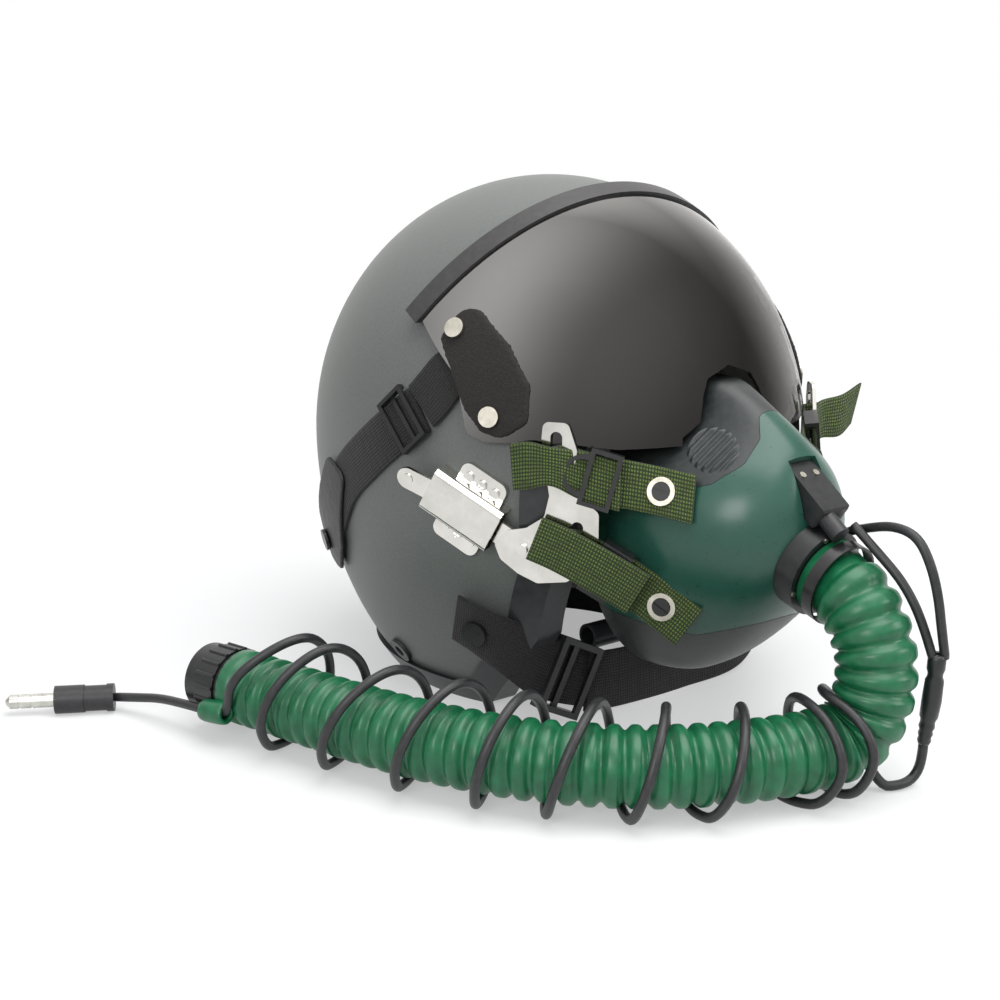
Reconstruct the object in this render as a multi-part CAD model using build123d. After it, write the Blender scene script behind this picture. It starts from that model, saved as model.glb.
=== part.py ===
from build123d import *
import math
import os

# Pilot flight helmet with visor, oxygen mask, breathing hose and comm cord. Millimetres.
# The face looks along -Y, the wearer's left is +X and up is +Z. The helmet's axis is built on y = 0
# and everything is moved at the end, so that the origin lies under the middle of the object.

# Clearances and cuts shared by all pieces
seat_gap = 0.2
part_gap = 0.35
pin_gap = 0.1
overrun = 40.0

# Helmet shell, an egg of two half eggs that meet at the hinge height
shell_half_width = 121.0
shell_half_length = 137.0
shell_rise = 136.0
shell_drop = 167.0
shell_wall = 3.0
hinge_height = 125.0
edge_corner_radius = 9.0
edge_shares = [(-1.50, 1.80), (-0.788, 1.592), (-0.759, 1.32), (-0.737, 1.04), (-0.723, 0.704), (-0.62, 0.40),
               (-0.526, 0.264), (-0.321, 0.032), (0.453, 0.032), (0.73, 0.112), (1.50, 0.30), (1.50, 2.6),
               (-1.50, 2.6)]

# Rubber roll round the shell's edge
roll_lip = 4.0
roll_cover = 8.0
roll_proud = 2.5
roll_depth = 4.0

# Liner, comfort pads and ear cups
liner_depth = 12.7
liner_inset = 9.2
pad_depth = 9.5
brow_pad_half_width = 45.0
brow_pad_back = 52.0
brow_pad_inset = 13.0
crown_pad_radius = 42.0
nape_pad_half_width = 44.0
nape_pad_low = 44.0
nape_pad_high = 96.0
ear_radius = 34.0
ear_wall = 2.2
ear_depth = 22.0
ear_outer_x = 106.0
ear_y = 5.0
ear_z = 112.0
ear_hole_gap = 0.4
seal_depth = 12.0
seal_wall = 11.0
earphone_radius = 20.0
earphone_depth = 13.0

# Visor, a spheroid round the hinge line
lens_half_width = 126.0
lens_radius = 142.5
lens_wall = 2.0
lens_corner_radius = 4.0
lens_shares = [(-0.175, 0.554), (-0.56, 1.298), (-1.30, 1.298), (-1.30, 0.15), (-0.87, 0.14), (-0.76, 0.16),
               (-0.56, 0.15), (-0.50, 0.175), (-0.456, 0.288), (-0.407, 0.365)]
notch_shares = [(0.232, 0.05), (0.222, 0.168), (0.154, 0.211), (0.126, 0.295), (0.098, 0.344)]
notch_top_share = 0.379
trim_width = 9.0
trim_lip = 2.0
trim_proud = 1.5
trim_run_share = 1.2
patch_thickness = 2.0
patch_corner_radius = 5.0
patch_shares = [(-0.372, 0.561), (-0.337, 0.465), (-0.407, 0.379), (-0.491, 0.25), (-0.555, 0.182), (-0.615, 0.166),
                (-0.674, 0.22), (-0.653, 0.337), (-0.561, 0.456), (-0.428, 0.558)]
snap_shares = [(-0.385, 0.496), (-0.575, 0.234)]
snap_radius = 4.8
snap_height = 2.4
keeper_snap_share_of_snap = 1.2

# Elastic visor strap on the shell, its adjuster and its leather keeper
elastic_width = 25.0
elastic_thickness = 1.8
elastic_shares = [(-0.31, 1.26), (-0.212, 1.175), (-0.058, 1.04), (0.088, 0.912), (0.219, 0.748), (0.38, 0.56)]
adjuster_share = (-0.255, 1.21)
adjuster_bar = 2.2
adjuster_length = 17.0
adjuster_slope = 45.0
adjuster_height = 3.5
keeper_thickness = 2.0
keeper_corner_radius = 6.0
keeper_shares = [(0.07, 0.93), (0.21, 0.99), (0.47, 0.66), (0.45, 0.47), (0.28, 0.46), (0.18, 0.60)]
keeper_snap_share = (0.36, 0.58)

# Bayonet receiver: a base on the shell, a folded cover and a sprung release lever
receiver_share = (-0.511, 0.904)
receiver_heading = (0.421, -0.771, -0.478)
receiver_rear = 21.0
receiver_front = 17.0
receiver_half_width = 11.5
receiver_base_top = 1.8
receiver_base_sink = 7.0
receiver_roof = 8.6
receiver_sheet = 1.2
lug_length = 25.0
lug_width = 13.0
lug_centre = 14.2
lug_pitch = 7.3
rivet_radius = 2.6
rivet_height = 1.2
cross_length_share = 0.62
cross_width_share = 0.16
lever_width = 11.0
lever_sheet = 1.7
lever_reach = 27.0
lever_nose = 7.0
lever_slope = 11.0
lever_pin_radius = 1.0
lever_boss_radius = 1.9
lever_pin_back = 11.0
lever_pin_height = 4.3
shank_tip = 9.0
shank_end = 43.0
shank_width = 11.0
shank_lift = 0.3
shank_sheet = 2.0

# Bayonet fork, a slotted plate in an upright plane beside the mask
fork_plane = (-95.5, -92.4)
fork_heading = (0.575, -0.819)
fork_sheet = 1.8
fork_corner_radius = 3.2
fork_size = 78.0
fork_shares = [(0.17, 1.92), (0.18, 2.03), (0.33, 2.03), (0.385, 1.87), (0.36, 1.70), (0.42, 1.58), (0.52, 1.51),
               (0.52, 1.33), (0.44, 1.15),
               (0.33, 1.075), (0.15, 1.05), (0.03, 1.10), (-0.08, 1.18), (-0.12, 1.28), (-0.04, 1.36), (0.08, 1.385),
               (0.19, 1.46), (0.22, 1.59)]
slot_width = 5.6
slot_length = 25.0
upper_slot_share = (0.26, 1.815)
upper_slot_tilt = 0.0
lower_slot_share = (0.335, 1.30)
lower_slot_tilt = -27.0

# Mask, lofted through level sections: half width, front, back and height as shares of its height
mask_height = 144.0
mask_power = 2.3
mask_steps = 12
mask_rows_share = [(0.06, -0.95, -0.80, 1.194), (0.10, -1.07, -0.775, 1.14), (0.175, -1.215, -0.736, 1.042),
                   (0.30, -1.292, -0.708, 0.938), (0.372, -1.333, -0.694, 0.799), (0.382, -1.319, -0.681, 0.66),
                   (0.361, -1.25, -0.681, 0.521), (0.306, -1.132, -0.681, 0.382), (0.236, -1.014, -0.688, 0.278),
                   (0.111, -0.875, -0.701, 0.194)]
mask_shell_wall = 2.4
mask_rubber_wall = 2.6
hard_corner_radius = 3.5
hard_shares = [(-1.50, 1.30), (-1.09, 1.30), (-1.105, 1.11), (-1.155, 1.05), (-1.165, 0.98), (-1.111, 0.92),
               (-1.042, 0.896), (-0.938, 0.903), (-0.71, 0.85), (-0.71, 0.43), (-1.042, 0.403), (-1.194, 0.458),
               (-1.50, 0.62)]

# Hose port, valves and their seats, on the port's own axis
port_y = -194.0
port_z = 94.0
port_pitch = 16.0
port_radius = 21.0
port_flange = 3.0
port_skirt = 12.0
barrel_radius = 16.5
barrel_bore = 14.5
barrel_depth = 22.0
nozzle_radius = 11.8
nozzle_bore = 10.0
nozzle_length = 15.0
web_depth = 2.0
inhale_disc_radius = 11.5
exhale_bore = 12.2
exhale_disc_radius = 14.0
valve_sheet = 1.2
valve_travel = 1.5
stem_radius = 1.6
stem_length = 9.0
spider_bar = 3.0
port_screw_radius = 1.2
port_screw_ring = 19.5
port_screw_count = 4
port_screw_angle = 20.0

# Microphone housing in its pocket on the nose ridge
mic_y = -190.5
mic_z = 132.5
mic_pitch = 36.0
mic_width = 17.0
mic_length = 29.0
mic_depth = 11.0
mic_corner = 2.0
mic_screw_radius = 1.6
mic_screw_height = 0.7
boot_radius = 4.4
boot_length = 10.0
boot_side = 3.0
mic_capsule_radius = 8.0
mic_capsule_depth = 7.0

# Olive straps between mask and fork, and their hardware
web_width = 22.0
web_thickness = 1.6
web_lift = 4.6
strap_screw_radius = 4.2
strap_screw_height = 1.6
strap_slot = 1.2
grommet_radius = 6.6
grommet_height = 0.9
buckle_bar = 2.2
buckle_length = 15.0
buckle_tab = 10.0
rail_share = 0.9
bar_depth_share = 0.7
middle_bar_share = 0.55
tab_wall_share = 1.2

# Chin strap of black webbing, buckle, roll and screws
chin_width = 31.0
chin_thickness = 2.2
chin_buckle_length = 26.0
chin_buckle_bar = 3.4
chin_screw_radius = 6.4
chin_screw_height = 2.6
roll_radius = 6.5
roll_bore = 4.8
roll_half_length = 32.0
roll_place = (-3, -75, 36.5)
chin_buckle_place = (-58, -84, 24)
chin_buckle_heading = (0.88, -0.05, -0.44)
chin_buckle_facing = (-0.05, -1, 0)
chin_screw_facing = (-0.88, -0.44, -0.2)
rim_grommet_radius = 7.0
rim_grommet_bore = 3.2
rim_grommet_height = 2.2
rim_grommet_share = (0.036, 0.16)

# Hose, its clamp and its end connector
hose_radius = 18.0
hose_groove = 2.4
hose_bore = 12.3
hose_pitch = 9.3
hose_cuff = 12.0
clamp_radius = 19.6
clamp_width = 6.0
clamp_start = 5.0
connector_length = 22.0
connector_radius = 15.6
connector_bore = 11.8
connector_lip = 2.0
coupling_radius = 18.6
coupling_width = 12.0
coupling_ridge = 0.9
coupling_ridges = 18
end_lug_radius = 5.6
end_lug_bore = 2.6
end_lug_length = 15.5
hose_route = [(0, -211, 89.1), (0, -221.5, 79), (0, -228.5, 65), (-1, -230, 50), (-4, -228.5, 36), (-11, -224.5, 26),
              (-25, -219.5, 23), (-42, -215.5, 23), (-62, -208.6, 23), (-82, -198.5, 23), (-100, -186.6, 23),
              (-118, -169.5, 23), (-135, -149, 23), (-150, -123.5, 23), (-162, -96, 23), (-172, -66, 23),
              (-180, -36.5, 23)]
hose_end = (-190.4, 0.7, 23.0)
hose_end_heading = (-0.269, 0.963, 0.0)
hose_seam = (0, 0.9, -0.4)
rib_shares = ((0.0, 1.0), (0.22, 0.22), (0.5, 0.0), (0.78, 0.22))
arc_share = 0.45

# Comm cord: leads, junction, winding round the hose, tail and plug
cord_radius = 2.25
junction_radius = 3.6
plug_radius = 7.0
plug_length = 29.0
plug_pin_radius = 3.55
plug_pin_length = 24.0
plug_pin_groove = 0.5
plug_waist_shares = (0.12, 0.5, 0.92)
plug_tip_share = 0.6
plug_groove_shares = (0.45, 0.7)
mic_lead_route = [(5, -207, 117.5), (8, -220, 106.5), (10.5, -232.5, 95.5), (13, -241.8, 80), (16, -246, 64)]
second_lead_route = [(13, -198, 111), (11.5, -211, 116), (10.5, -225.5, 120), (10.5, -238, 118), (11.5, -245, 107),
                     (13.5, -248.5, 93), (16, -249.5, 78), (20.5, -249, 64)]
junction_route = [(18, -246.8, 62), (20.5, -241, 22)]
lead_route = [(20.5, -241, 22), (23, -239, 11), (19, -238, 3.6), (10, -237, 2.4), (2, -232, 2.6)]
winding_turns = [(100, 83, 92, 100), (109, 104, 115, 126), (138, 150, 160, 166), (172, 182, 190, 196),
                 (202, 215, 224, 229), (234, 245, 253, 259), (264, 280, 291, 295), (298, 318, 332, 335),
                 (336, 356, 366, 361)]
winding_first = 79
winding_last = (354, 373)
winding_last_quarter = 0.62
winding_side_radius = 25.5
winding_floor_radius = 20.75
winding_top_shares = (1.2, 1.15, 1.11, 1.25, 1.34, 1.39, 1.46, 1.45, 1.58, 1.63)
tail_route = [(-206, -13.8, 16.8), (-208.4, -5.5, 15.6), (-210.8, 1.8, 15.4), (-214.3, 16, 14.6), (-217.8, 35, 12.2),
              (-223, 50, 9), (-230, 62.5, 7)]
plug_heading = (-0.87, 0.49, 0.0)


def wide(points, along, up):
    """Shares of two sizes as lengths."""
    return [(a * along, b * up) for a, b in points]


def side_face(points, radius):
    """A face in the side view, with its corners rounded."""
    outline = FilletPolyline(*points, radius=radius, close=True)
    return Plane.YZ * make_face(outline)


def side_block(face, left=True, right=True):
    """A side view face pushed out to the right, to the left or to both sides."""
    reach = shell_half_width + overrun
    block = extrude(face, amount=reach, both=True)
    if left and right:
        return block
    side = 1 if left else -1
    return block & (Pos(side * reach, 0, hinge_height) * Box(reach * 2, reach * 4, reach * 4))


def egg(off):
    """The shell's outer form, grown by off."""
    size = (shell_half_width + off, shell_half_length + off)
    top = Sphere(1, arc_size1=0, align=(Align.CENTER, Align.CENTER, Align.MIN))
    low = Sphere(1, arc_size2=0, align=(Align.CENTER, Align.CENTER, Align.MAX))
    upper = scale(top, by=(size[0], size[1], shell_rise + off))
    lower = scale(low, by=(size[0], size[1], shell_drop + off))
    return Pos(0, 0, hinge_height) * (upper + lower)


def spheroid(off):
    """The visor's outer form, grown by off."""
    size = lens_radius + off
    return Pos(0, 0, hinge_height) * scale(Sphere(1), by=(lens_half_width + off, size, size))


def shell_plane(y_share, z_share, heading=(0, 1, 0), off=0.0):
    """A plane on the wearer's right of the shell, its x along heading and its z outwards."""
    y = y_share * shell_half_length
    z = z_share * hinge_height
    rise = shell_rise if z > hinge_height else shell_drop
    a, b, c = shell_half_width + off, shell_half_length + off, rise + off
    x = -a * math.sqrt(1 - (y / b) ** 2 - ((z - hinge_height) / c) ** 2)
    normal = Vector(x / a ** 2, y / b ** 2, (z - hinge_height) / c ** 2).normalized()
    return tangent_plane(Vector(x, y, z), normal, heading)


def lens_plane(y_share, z_share, heading=(0, 1, 0), off=0.0):
    """A plane on the wearer's right of the visor, its x along heading and its z outwards."""
    y = y_share * lens_radius
    z = z_share * lens_radius
    a, b = lens_half_width + off, lens_radius + off
    x = -a * math.sqrt(1 - (y / b) ** 2 - (z / b) ** 2)
    normal = Vector(x / a ** 2, y / b ** 2, z / b ** 2).normalized()
    return tangent_plane(Vector(x, y, z + hinge_height), normal, heading)


def tangent_plane(origin, normal, heading):
    """A plane with z along normal and x as near to heading as it can be."""
    across = Vector(*heading)
    across = across - normal * across.dot(normal)
    return Plane(origin=origin, x_dir=across, z_dir=normal)


def disc(plane, radius, low, high, x=0.0, y=0.0):
    """A cylinder on a plane, from height low to height high."""
    return plane * (Pos(x, y, (low + high) / 2) * Cylinder(radius, high - low))


def brick(plane, x0, x1, y0, y1, z0, z1):
    """A box on a plane between two corners."""
    centre = Pos((x0 + x1) / 2, (y0 + y1) / 2, (z0 + z1) / 2)
    return plane * (centre * Box(x1 - x0, y1 - y0, z1 - z0))


def band(stations, thickness):
    """Flat webbing through stations of a middle point, an edge direction and a width."""
    faces = []
    points = [Vector(*s[0]) for s in stations]
    for i, (point, edge, width) in enumerate(stations):
        ahead = points[min(i + 1, len(points) - 1)] - points[max(i - 1, 0)]
        across = Vector(*edge)
        across = (across - ahead * (across.dot(ahead) / ahead.dot(ahead))).normalized()
        plane = Plane(origin=points[i], x_dir=across, z_dir=ahead)
        faces.append(plane * Rectangle(width, thickness))
    return loft(faces, ruled=True)


def mirrored(shape):
    """The same piece on the wearer's left."""
    return mirror(shape, about=Plane.YZ)


# The helmet

edge_face = side_face(wide(edge_shares, shell_half_length, hinge_height), edge_corner_radius)
edge_block = side_block(edge_face)
shell_outer = egg(0)


def make_shell():
    """Thin shell cut to its edge outline."""
    return (shell_outer - egg(-shell_wall)) & edge_block


def make_roll(shell):
    """Rubber channel that grips the shell's edge on both faces."""
    strip = side_block(offset(edge_face, amount=roll_lip)) - side_block(offset(edge_face, amount=-roll_cover))
    ring = (egg(roll_proud) - egg(-shell_wall - roll_depth)) & strip
    return ring - shell


def make_liner():
    """Foam liner inside the shell, with a hole for each ear cup."""
    outer = egg(-shell_wall - seat_gap)
    foam = (outer - egg(-shell_wall - seat_gap - liner_depth)) & side_block(offset(edge_face, amount=-liner_inset))
    hole = Pos(0, ear_y, ear_z) * Rot(0, 90, 0) * Cylinder(ear_radius + ear_hole_gap, shell_half_width * 2)
    return foam - hole


def make_pads():
    """Brow, crown and nape pads on the liner's inner face."""
    top = -shell_wall - liner_depth - seat_gap * 2
    sheet = egg(top) - egg(top - pad_depth)
    reach = shell_half_length * 2
    brow_box = Box(brow_pad_half_width * 2, reach, reach)
    brow_box = Pos(0, -brow_pad_back - reach / 2, hinge_height + reach / 2) * brow_box
    brow = sheet & brow_box & side_block(offset(edge_face, amount=-brow_pad_inset))
    crown = sheet & (Pos(0, 0, hinge_height + reach / 2) * Cylinder(crown_pad_radius, reach))
    nape_height = nape_pad_high - nape_pad_low
    nape_box = Box(nape_pad_half_width * 2, reach, nape_height)
    nape = sheet & (Pos(0, reach / 2, nape_pad_low + nape_height / 2) * nape_box)
    return brow, crown, nape


def make_ear():
    """Ear cup, its soft seal and its earphone, on the wearer's right."""
    plane = Plane(origin=(-ear_outer_x, ear_y, ear_z), x_dir=(0, 1, 0), z_dir=(1, 0, 0))
    cup = disc(plane, ear_radius, 0, ear_depth) - disc(plane, ear_radius - ear_wall, ear_wall, ear_depth + overrun)
    seal = disc(plane, ear_radius, ear_depth, ear_depth + seal_depth)
    seal -= disc(plane, ear_radius - seal_wall, 0, ear_depth + overrun)
    seal_edges = seal.edges().filter_by(GeomType.CIRCLE)
    seal = fillet(seal_edges, radius=seal_wall / 4)
    phone = disc(plane, earphone_radius, ear_wall, ear_wall + earphone_depth)
    return cup, seal, phone


# The bayonet receiver

receiver_plane = shell_plane(*receiver_share, heading=receiver_heading)


def lug_outline(side):
    """Rounded plate that carries three fasteners on one side of the receiver."""
    plate = Pos(0, side * (lug_centre - lug_width / 4)) * Rectangle(lug_length, lug_width * 1.5)
    return fillet(plate.vertices(), lug_width / 3)


def make_receiver():
    """Base, cover, lever, lever pin, screws and rivets of the right-hand receiver."""
    plane = receiver_plane
    body = Rectangle(receiver_front + receiver_rear, receiver_half_width * 2)
    body = Pos((receiver_front - receiver_rear) / 2, 0) * body
    outline = body + lug_outline(1) + lug_outline(-1)
    base = plane * (Pos(0, 0, -receiver_base_sink) * extrude(outline, receiver_base_top + receiver_base_sink))
    base -= egg(seat_gap)
    side = receiver_half_width - receiver_sheet
    cover = brick(plane, -receiver_rear, receiver_front, -receiver_half_width, receiver_half_width,
                  receiver_base_top, receiver_roof)
    long_edges = cover.edges().filter_by(lambda e: abs(e.length - receiver_front - receiver_rear) < seat_gap)
    tops = long_edges.sort_by(lambda e: plane.to_local_coords(e.center()).Z)[-2:]
    cover = fillet(tops, (receiver_roof - receiver_base_top) / 2)
    cover -= brick(plane, -receiver_rear - overrun, receiver_front + overrun, -side, side,
                   receiver_base_top, receiver_roof - receiver_sheet)
    pin_place = Plane(origin=plane.from_local_coords(Vector(-lever_pin_back, 0, lever_pin_height)),
                      x_dir=plane.x_dir, z_dir=plane.y_dir)
    pin = disc(pin_place, lever_pin_radius, -receiver_half_width, receiver_half_width)
    cover -= disc(pin_place, lever_pin_radius + pin_gap, -receiver_half_width * 2, receiver_half_width * 2)
    lever = make_lever(plane, pin_place)
    screws, rivets = [], []
    for row in (1, -1):
        for step in (-1, 0, 1):
            head = disc(plane, rivet_radius, receiver_base_top, receiver_base_top + rivet_height,
                        step * lug_pitch, row * lug_centre)
            if step == 0:
                half = rivet_radius * cross_length_share
                bar = rivet_radius * cross_width_share
                low = receiver_base_top + rivet_height / 2
                high = receiver_base_top + overrun
                y = row * lug_centre
                head -= brick(plane, -half, half, y - bar, y + bar, low, high)
                head -= brick(plane, -bar, bar, y - half, y + half, low, high)
                screws.append(head)
            else:
                rivets.append(head)
    return base, cover, lever, pin, screws, rivets


def make_lever(plane, pin_place):
    """Release lever that tilts on its pin, bent down to follow the shell."""
    boss = disc(pin_place, lever_boss_radius, -lever_width / 2, lever_width / 2)
    local = Plane(origin=pin_place.origin, x_dir=plane.x_dir, z_dir=plane.z_dir).rotated((0, -lever_slope, 0))
    tip = -lever_reach + lever_width / 2
    blade = brick(local, tip, 0, -lever_width / 2, lever_width / 2, -lever_sheet / 2, lever_sheet / 2)
    blade += disc(local, lever_width / 2, -lever_sheet / 2, lever_sheet / 2, tip)
    level = Plane(origin=pin_place.origin, x_dir=plane.x_dir, z_dir=plane.z_dir)
    blade += brick(level, 0, lever_nose, -lever_width / 2, lever_width / 2, -lever_sheet / 2, lever_sheet / 2)
    blade += disc(local, rivet_radius, 0, lever_sheet / 2 + rivet_height / 2, tip)
    return blade + boss - disc(pin_place, lever_pin_radius + pin_gap, -lever_width, lever_width)


def fork_form(grow):
    """The slotted fork plate, grown on all faces."""
    plane = Plane(origin=(fork_plane[0], fork_plane[1], 0), x_dir=(fork_heading[0], fork_heading[1], 0),
                  z_dir=(fork_heading[1], -fork_heading[0], 0))
    outline = FilletPolyline(*wide(fork_shares, fork_size, fork_size), radius=fork_corner_radius, close=True)
    face = make_face(outline)
    if grow:
        face = offset(face, amount=grow)
    plate = extrude(face, amount=fork_sheet / 2 + grow, both=True)
    for share, tilt in ((upper_slot_share, upper_slot_tilt), (lower_slot_share, lower_slot_tilt)):
        slot = SlotOverall(slot_length - grow * 2, slot_width - grow * 2, rotation=90 + tilt)
        spot = Pos(share[0] * fork_size, share[1] * fork_size)
        plate -= spot * extrude(slot, amount=overrun, both=True)
    return plane * plate


def make_bayonet():
    """Slotted fork plate with the shank that goes into the receiver."""
    low = receiver_base_top + shank_lift
    shank = brick(receiver_plane, shank_tip, shank_end, -shank_width / 2, shank_width / 2, low, low + shank_sheet)
    rivet = disc(receiver_plane, rivet_radius, low + shank_sheet, low + shank_sheet + rivet_height,
                 shank_end - shank_width)
    return fork_form(0) + shank + rivet


# The visor


def notch_block():
    """Nose notch of the visor, seen from the front."""
    half = [(x * lens_radius, hinge_height + z * lens_radius) for x, z in notch_shares]
    top = (0, hinge_height + notch_top_share * lens_radius)
    outline = Polyline(*half, top, *[(-x, z) for x, z in reversed(half)], close=True)
    face = Plane.XZ * make_face(outline)
    return extrude(face, amount=lens_radius + overrun)


lens_points = [(y, z + hinge_height) for y, z in wide(lens_shares, lens_radius, lens_radius)]


def make_lens():
    """Thin curved lens with the nose notch."""
    lens = (spheroid(0) - spheroid(-lens_wall)) & side_block(side_face(lens_points, lens_corner_radius))
    return lens - notch_block()


def visor_room():
    """Room that the visor needs, kept clear by the mask's pieces."""
    side = offset(side_face(lens_points, lens_corner_radius), amount=part_gap * 2)
    return (spheroid(part_gap * 1.5) & side_block(side)) - notch_block()


def make_trim(lens):
    """Rubber channel on the lens's upper edge."""
    low, high = Vector(*lens_points[0]), Vector(*lens_points[1])
    run = (high - low).normalized()
    into = Vector(-run.Y, run.X)
    start = low - run * (trim_lip * 2)
    end = low + run * (lens_radius * trim_run_share)
    corners = [start - into * trim_lip, end - into * trim_lip, end + into * trim_width, start + into * trim_width]
    strip = side_block(Plane.YZ * make_face(Polyline(*corners, close=True)))
    ring = (spheroid(trim_proud) - spheroid(-lens_wall - trim_proud)) & strip
    return ring - lens


def make_patch():
    """Flocked patch on the right-hand end of the lens, and its two snaps."""
    points = [(y, z + hinge_height) for y, z in wide(patch_shares, lens_radius, lens_radius)]
    block = side_block(side_face(points, patch_corner_radius), left=False)
    patch = (spheroid(seat_gap + patch_thickness) - spheroid(seat_gap)) & block
    snaps = []
    for share in snap_shares:
        plane = lens_plane(*share, off=seat_gap + patch_thickness)
        patch -= disc(plane, snap_radius, 0, overrun)
        snap = disc(plane, snap_radius, seat_gap, snap_height)
        snaps.append(fillet(snap.edges().filter_by(GeomType.CIRCLE)[-1], snap_height / 3))
    return patch, snaps


# Elastic straps, their adjusters and their keepers


def make_elastic():
    """Right-hand elastic strap, lying on the shell."""
    points = [Vector(y, z) for y, z in wide(elastic_shares, shell_half_length, hinge_height)]
    sides = ([], [])
    for i, point in enumerate(points):
        ahead = points[min(i + 1, len(points) - 1)] - points[max(i - 1, 0)]
        across = Vector(-ahead.Y, ahead.X).normalized() * (elastic_width / 2)
        sides[0].append(point + across)
        sides[1].append(point - across)
    ends = [Line(sides[0][0], sides[1][0]), Line(sides[0][-1], sides[1][-1])]
    block = side_block(Plane.YZ * make_face([Spline(*sides[0]), Spline(*sides[1]), *ends]), left=False)
    return (egg(seat_gap + elastic_thickness) - egg(seat_gap)) & block


def ladder(plane, width, length, bar, high, low, middle):
    """Frame with two end bars over the webbing and a middle bar, on two side rails."""
    half = width / 2
    rail = bar * rail_share
    depth = bar * bar_depth_share
    frame = brick(plane, -bar / 2, bar / 2, -half, half, middle, middle + bar * middle_bar_share)
    for side in (-1, 1):
        y0, y1 = sorted((side * half, side * (half + rail)))
        frame += brick(plane, -length / 2, length / 2, y0, y1, low, high)
    for x in (-length / 2, length / 2 - bar):
        frame += brick(plane, x, x + bar, -half, half, high - depth, high)
    return frame


def make_adjuster():
    """Ladder lock on the elastic strap."""
    angle = math.radians(adjuster_slope)
    plane = shell_plane(*adjuster_share, heading=(0, -math.cos(angle), math.sin(angle)))
    low = seat_gap + elastic_thickness + part_gap
    return ladder(plane, elastic_width, adjuster_length, adjuster_bar, low + adjuster_height, low, low)


def make_keeper():
    """Leather keeper over the end of the elastic, and its snap."""
    low = seat_gap * 2 + elastic_thickness
    points = wide(keeper_shares, shell_half_length, hinge_height)
    block = side_block(side_face(points, keeper_corner_radius), left=False)
    keeper = (egg(low + keeper_thickness) - egg(low)) & block
    plane = shell_plane(*keeper_snap_share, off=low + keeper_thickness)
    snap = disc(plane, snap_radius * keeper_snap_share_of_snap, seat_gap, snap_height)
    return keeper, fillet(snap.edges().filter_by(GeomType.CIRCLE)[-1], snap_height / 3)


# The mask


def mask_row(row, inset, reach):
    """One level section of the mask, a half superellipse closed by a straight back."""
    half, front, back, z = [v * mask_height for v in row]
    middle = (mask_rows_share[0][3] + mask_rows_share[-1][3]) / 2 * mask_height
    z = middle + (z - middle) * (1 - inset * 2 / mask_height)
    half, front = half - inset, front + inset
    points = []
    for i in range(mask_steps + 1):
        angle = math.radians(-90 + i * 180 / mask_steps)
        x = math.copysign(abs(math.sin(angle)) ** (2 / mask_power), math.sin(angle))
        y = abs(math.cos(angle)) ** (2 / mask_power)
        points.append((x * half, back + (front - back) * y, z))
    bow = Spline(*points)
    if reach > 0:
        tail = [points[-1], (half, back + reach, z), (-half, back + reach, z), points[0]]
        return make_face([bow, Polyline(*tail)])
    return make_face([bow, Line(points[-1], points[0])])


def mask_form(inset, reach=0.0):
    """The mask's outer form, drawn in by inset, with its back moved back by reach."""
    return loft([mask_row(row, inset, reach) for row in mask_rows_share])


port = Plane(origin=(0, port_y, port_z), x_dir=(1, 0, 0),
             z_dir=(0, -math.cos(math.radians(port_pitch)), -math.sin(math.radians(port_pitch))))
mic = Plane(origin=(0, mic_y, mic_z),
            x_dir=(0, -math.cos(math.radians(mic_pitch)), -math.sin(math.radians(mic_pitch))),
            z_dir=(0, -math.sin(math.radians(mic_pitch)), math.cos(math.radians(mic_pitch))))


def mic_body(grow=0.0, top=0.0):
    """Block of the microphone housing, grown for its pocket."""
    half = mic_width / 2 + grow
    return brick(mic, -mic_length / 2 - grow, mic_length / 2 + grow, -half, half, -mic_depth - grow, top)


def make_mask():
    """Hard green shell and the dark rubber face form under it."""
    outer = mask_form(0)
    middle = mask_form(mask_shell_wall, mask_shell_wall)
    inner = mask_form(mask_shell_wall + mask_rubber_wall, overrun)
    hard_points = wide(hard_shares, mask_height, mask_height)
    hard_block = side_block(side_face(hard_points, hard_corner_radius))
    holes = disc(port, barrel_radius + seat_gap, -barrel_depth * 2, overrun)
    pocket = mic_body(part_gap, overrun)
    pocket += disc(mic, mic_capsule_radius, -mic_depth - mic_capsule_depth - mic_corner, 0)
    hard = (outer - middle) & hard_block
    hard = hard - holes - pocket - disc(port, port_radius + seat_gap, 0, overrun)
    rubber = outer - inner - side_block(offset(side_face(hard_points, hard_corner_radius), amount=seat_gap))
    rubber += mask_form(mask_shell_wall + seat_gap) - inner
    rubber = rubber - holes - pocket
    return hard, rubber


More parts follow.
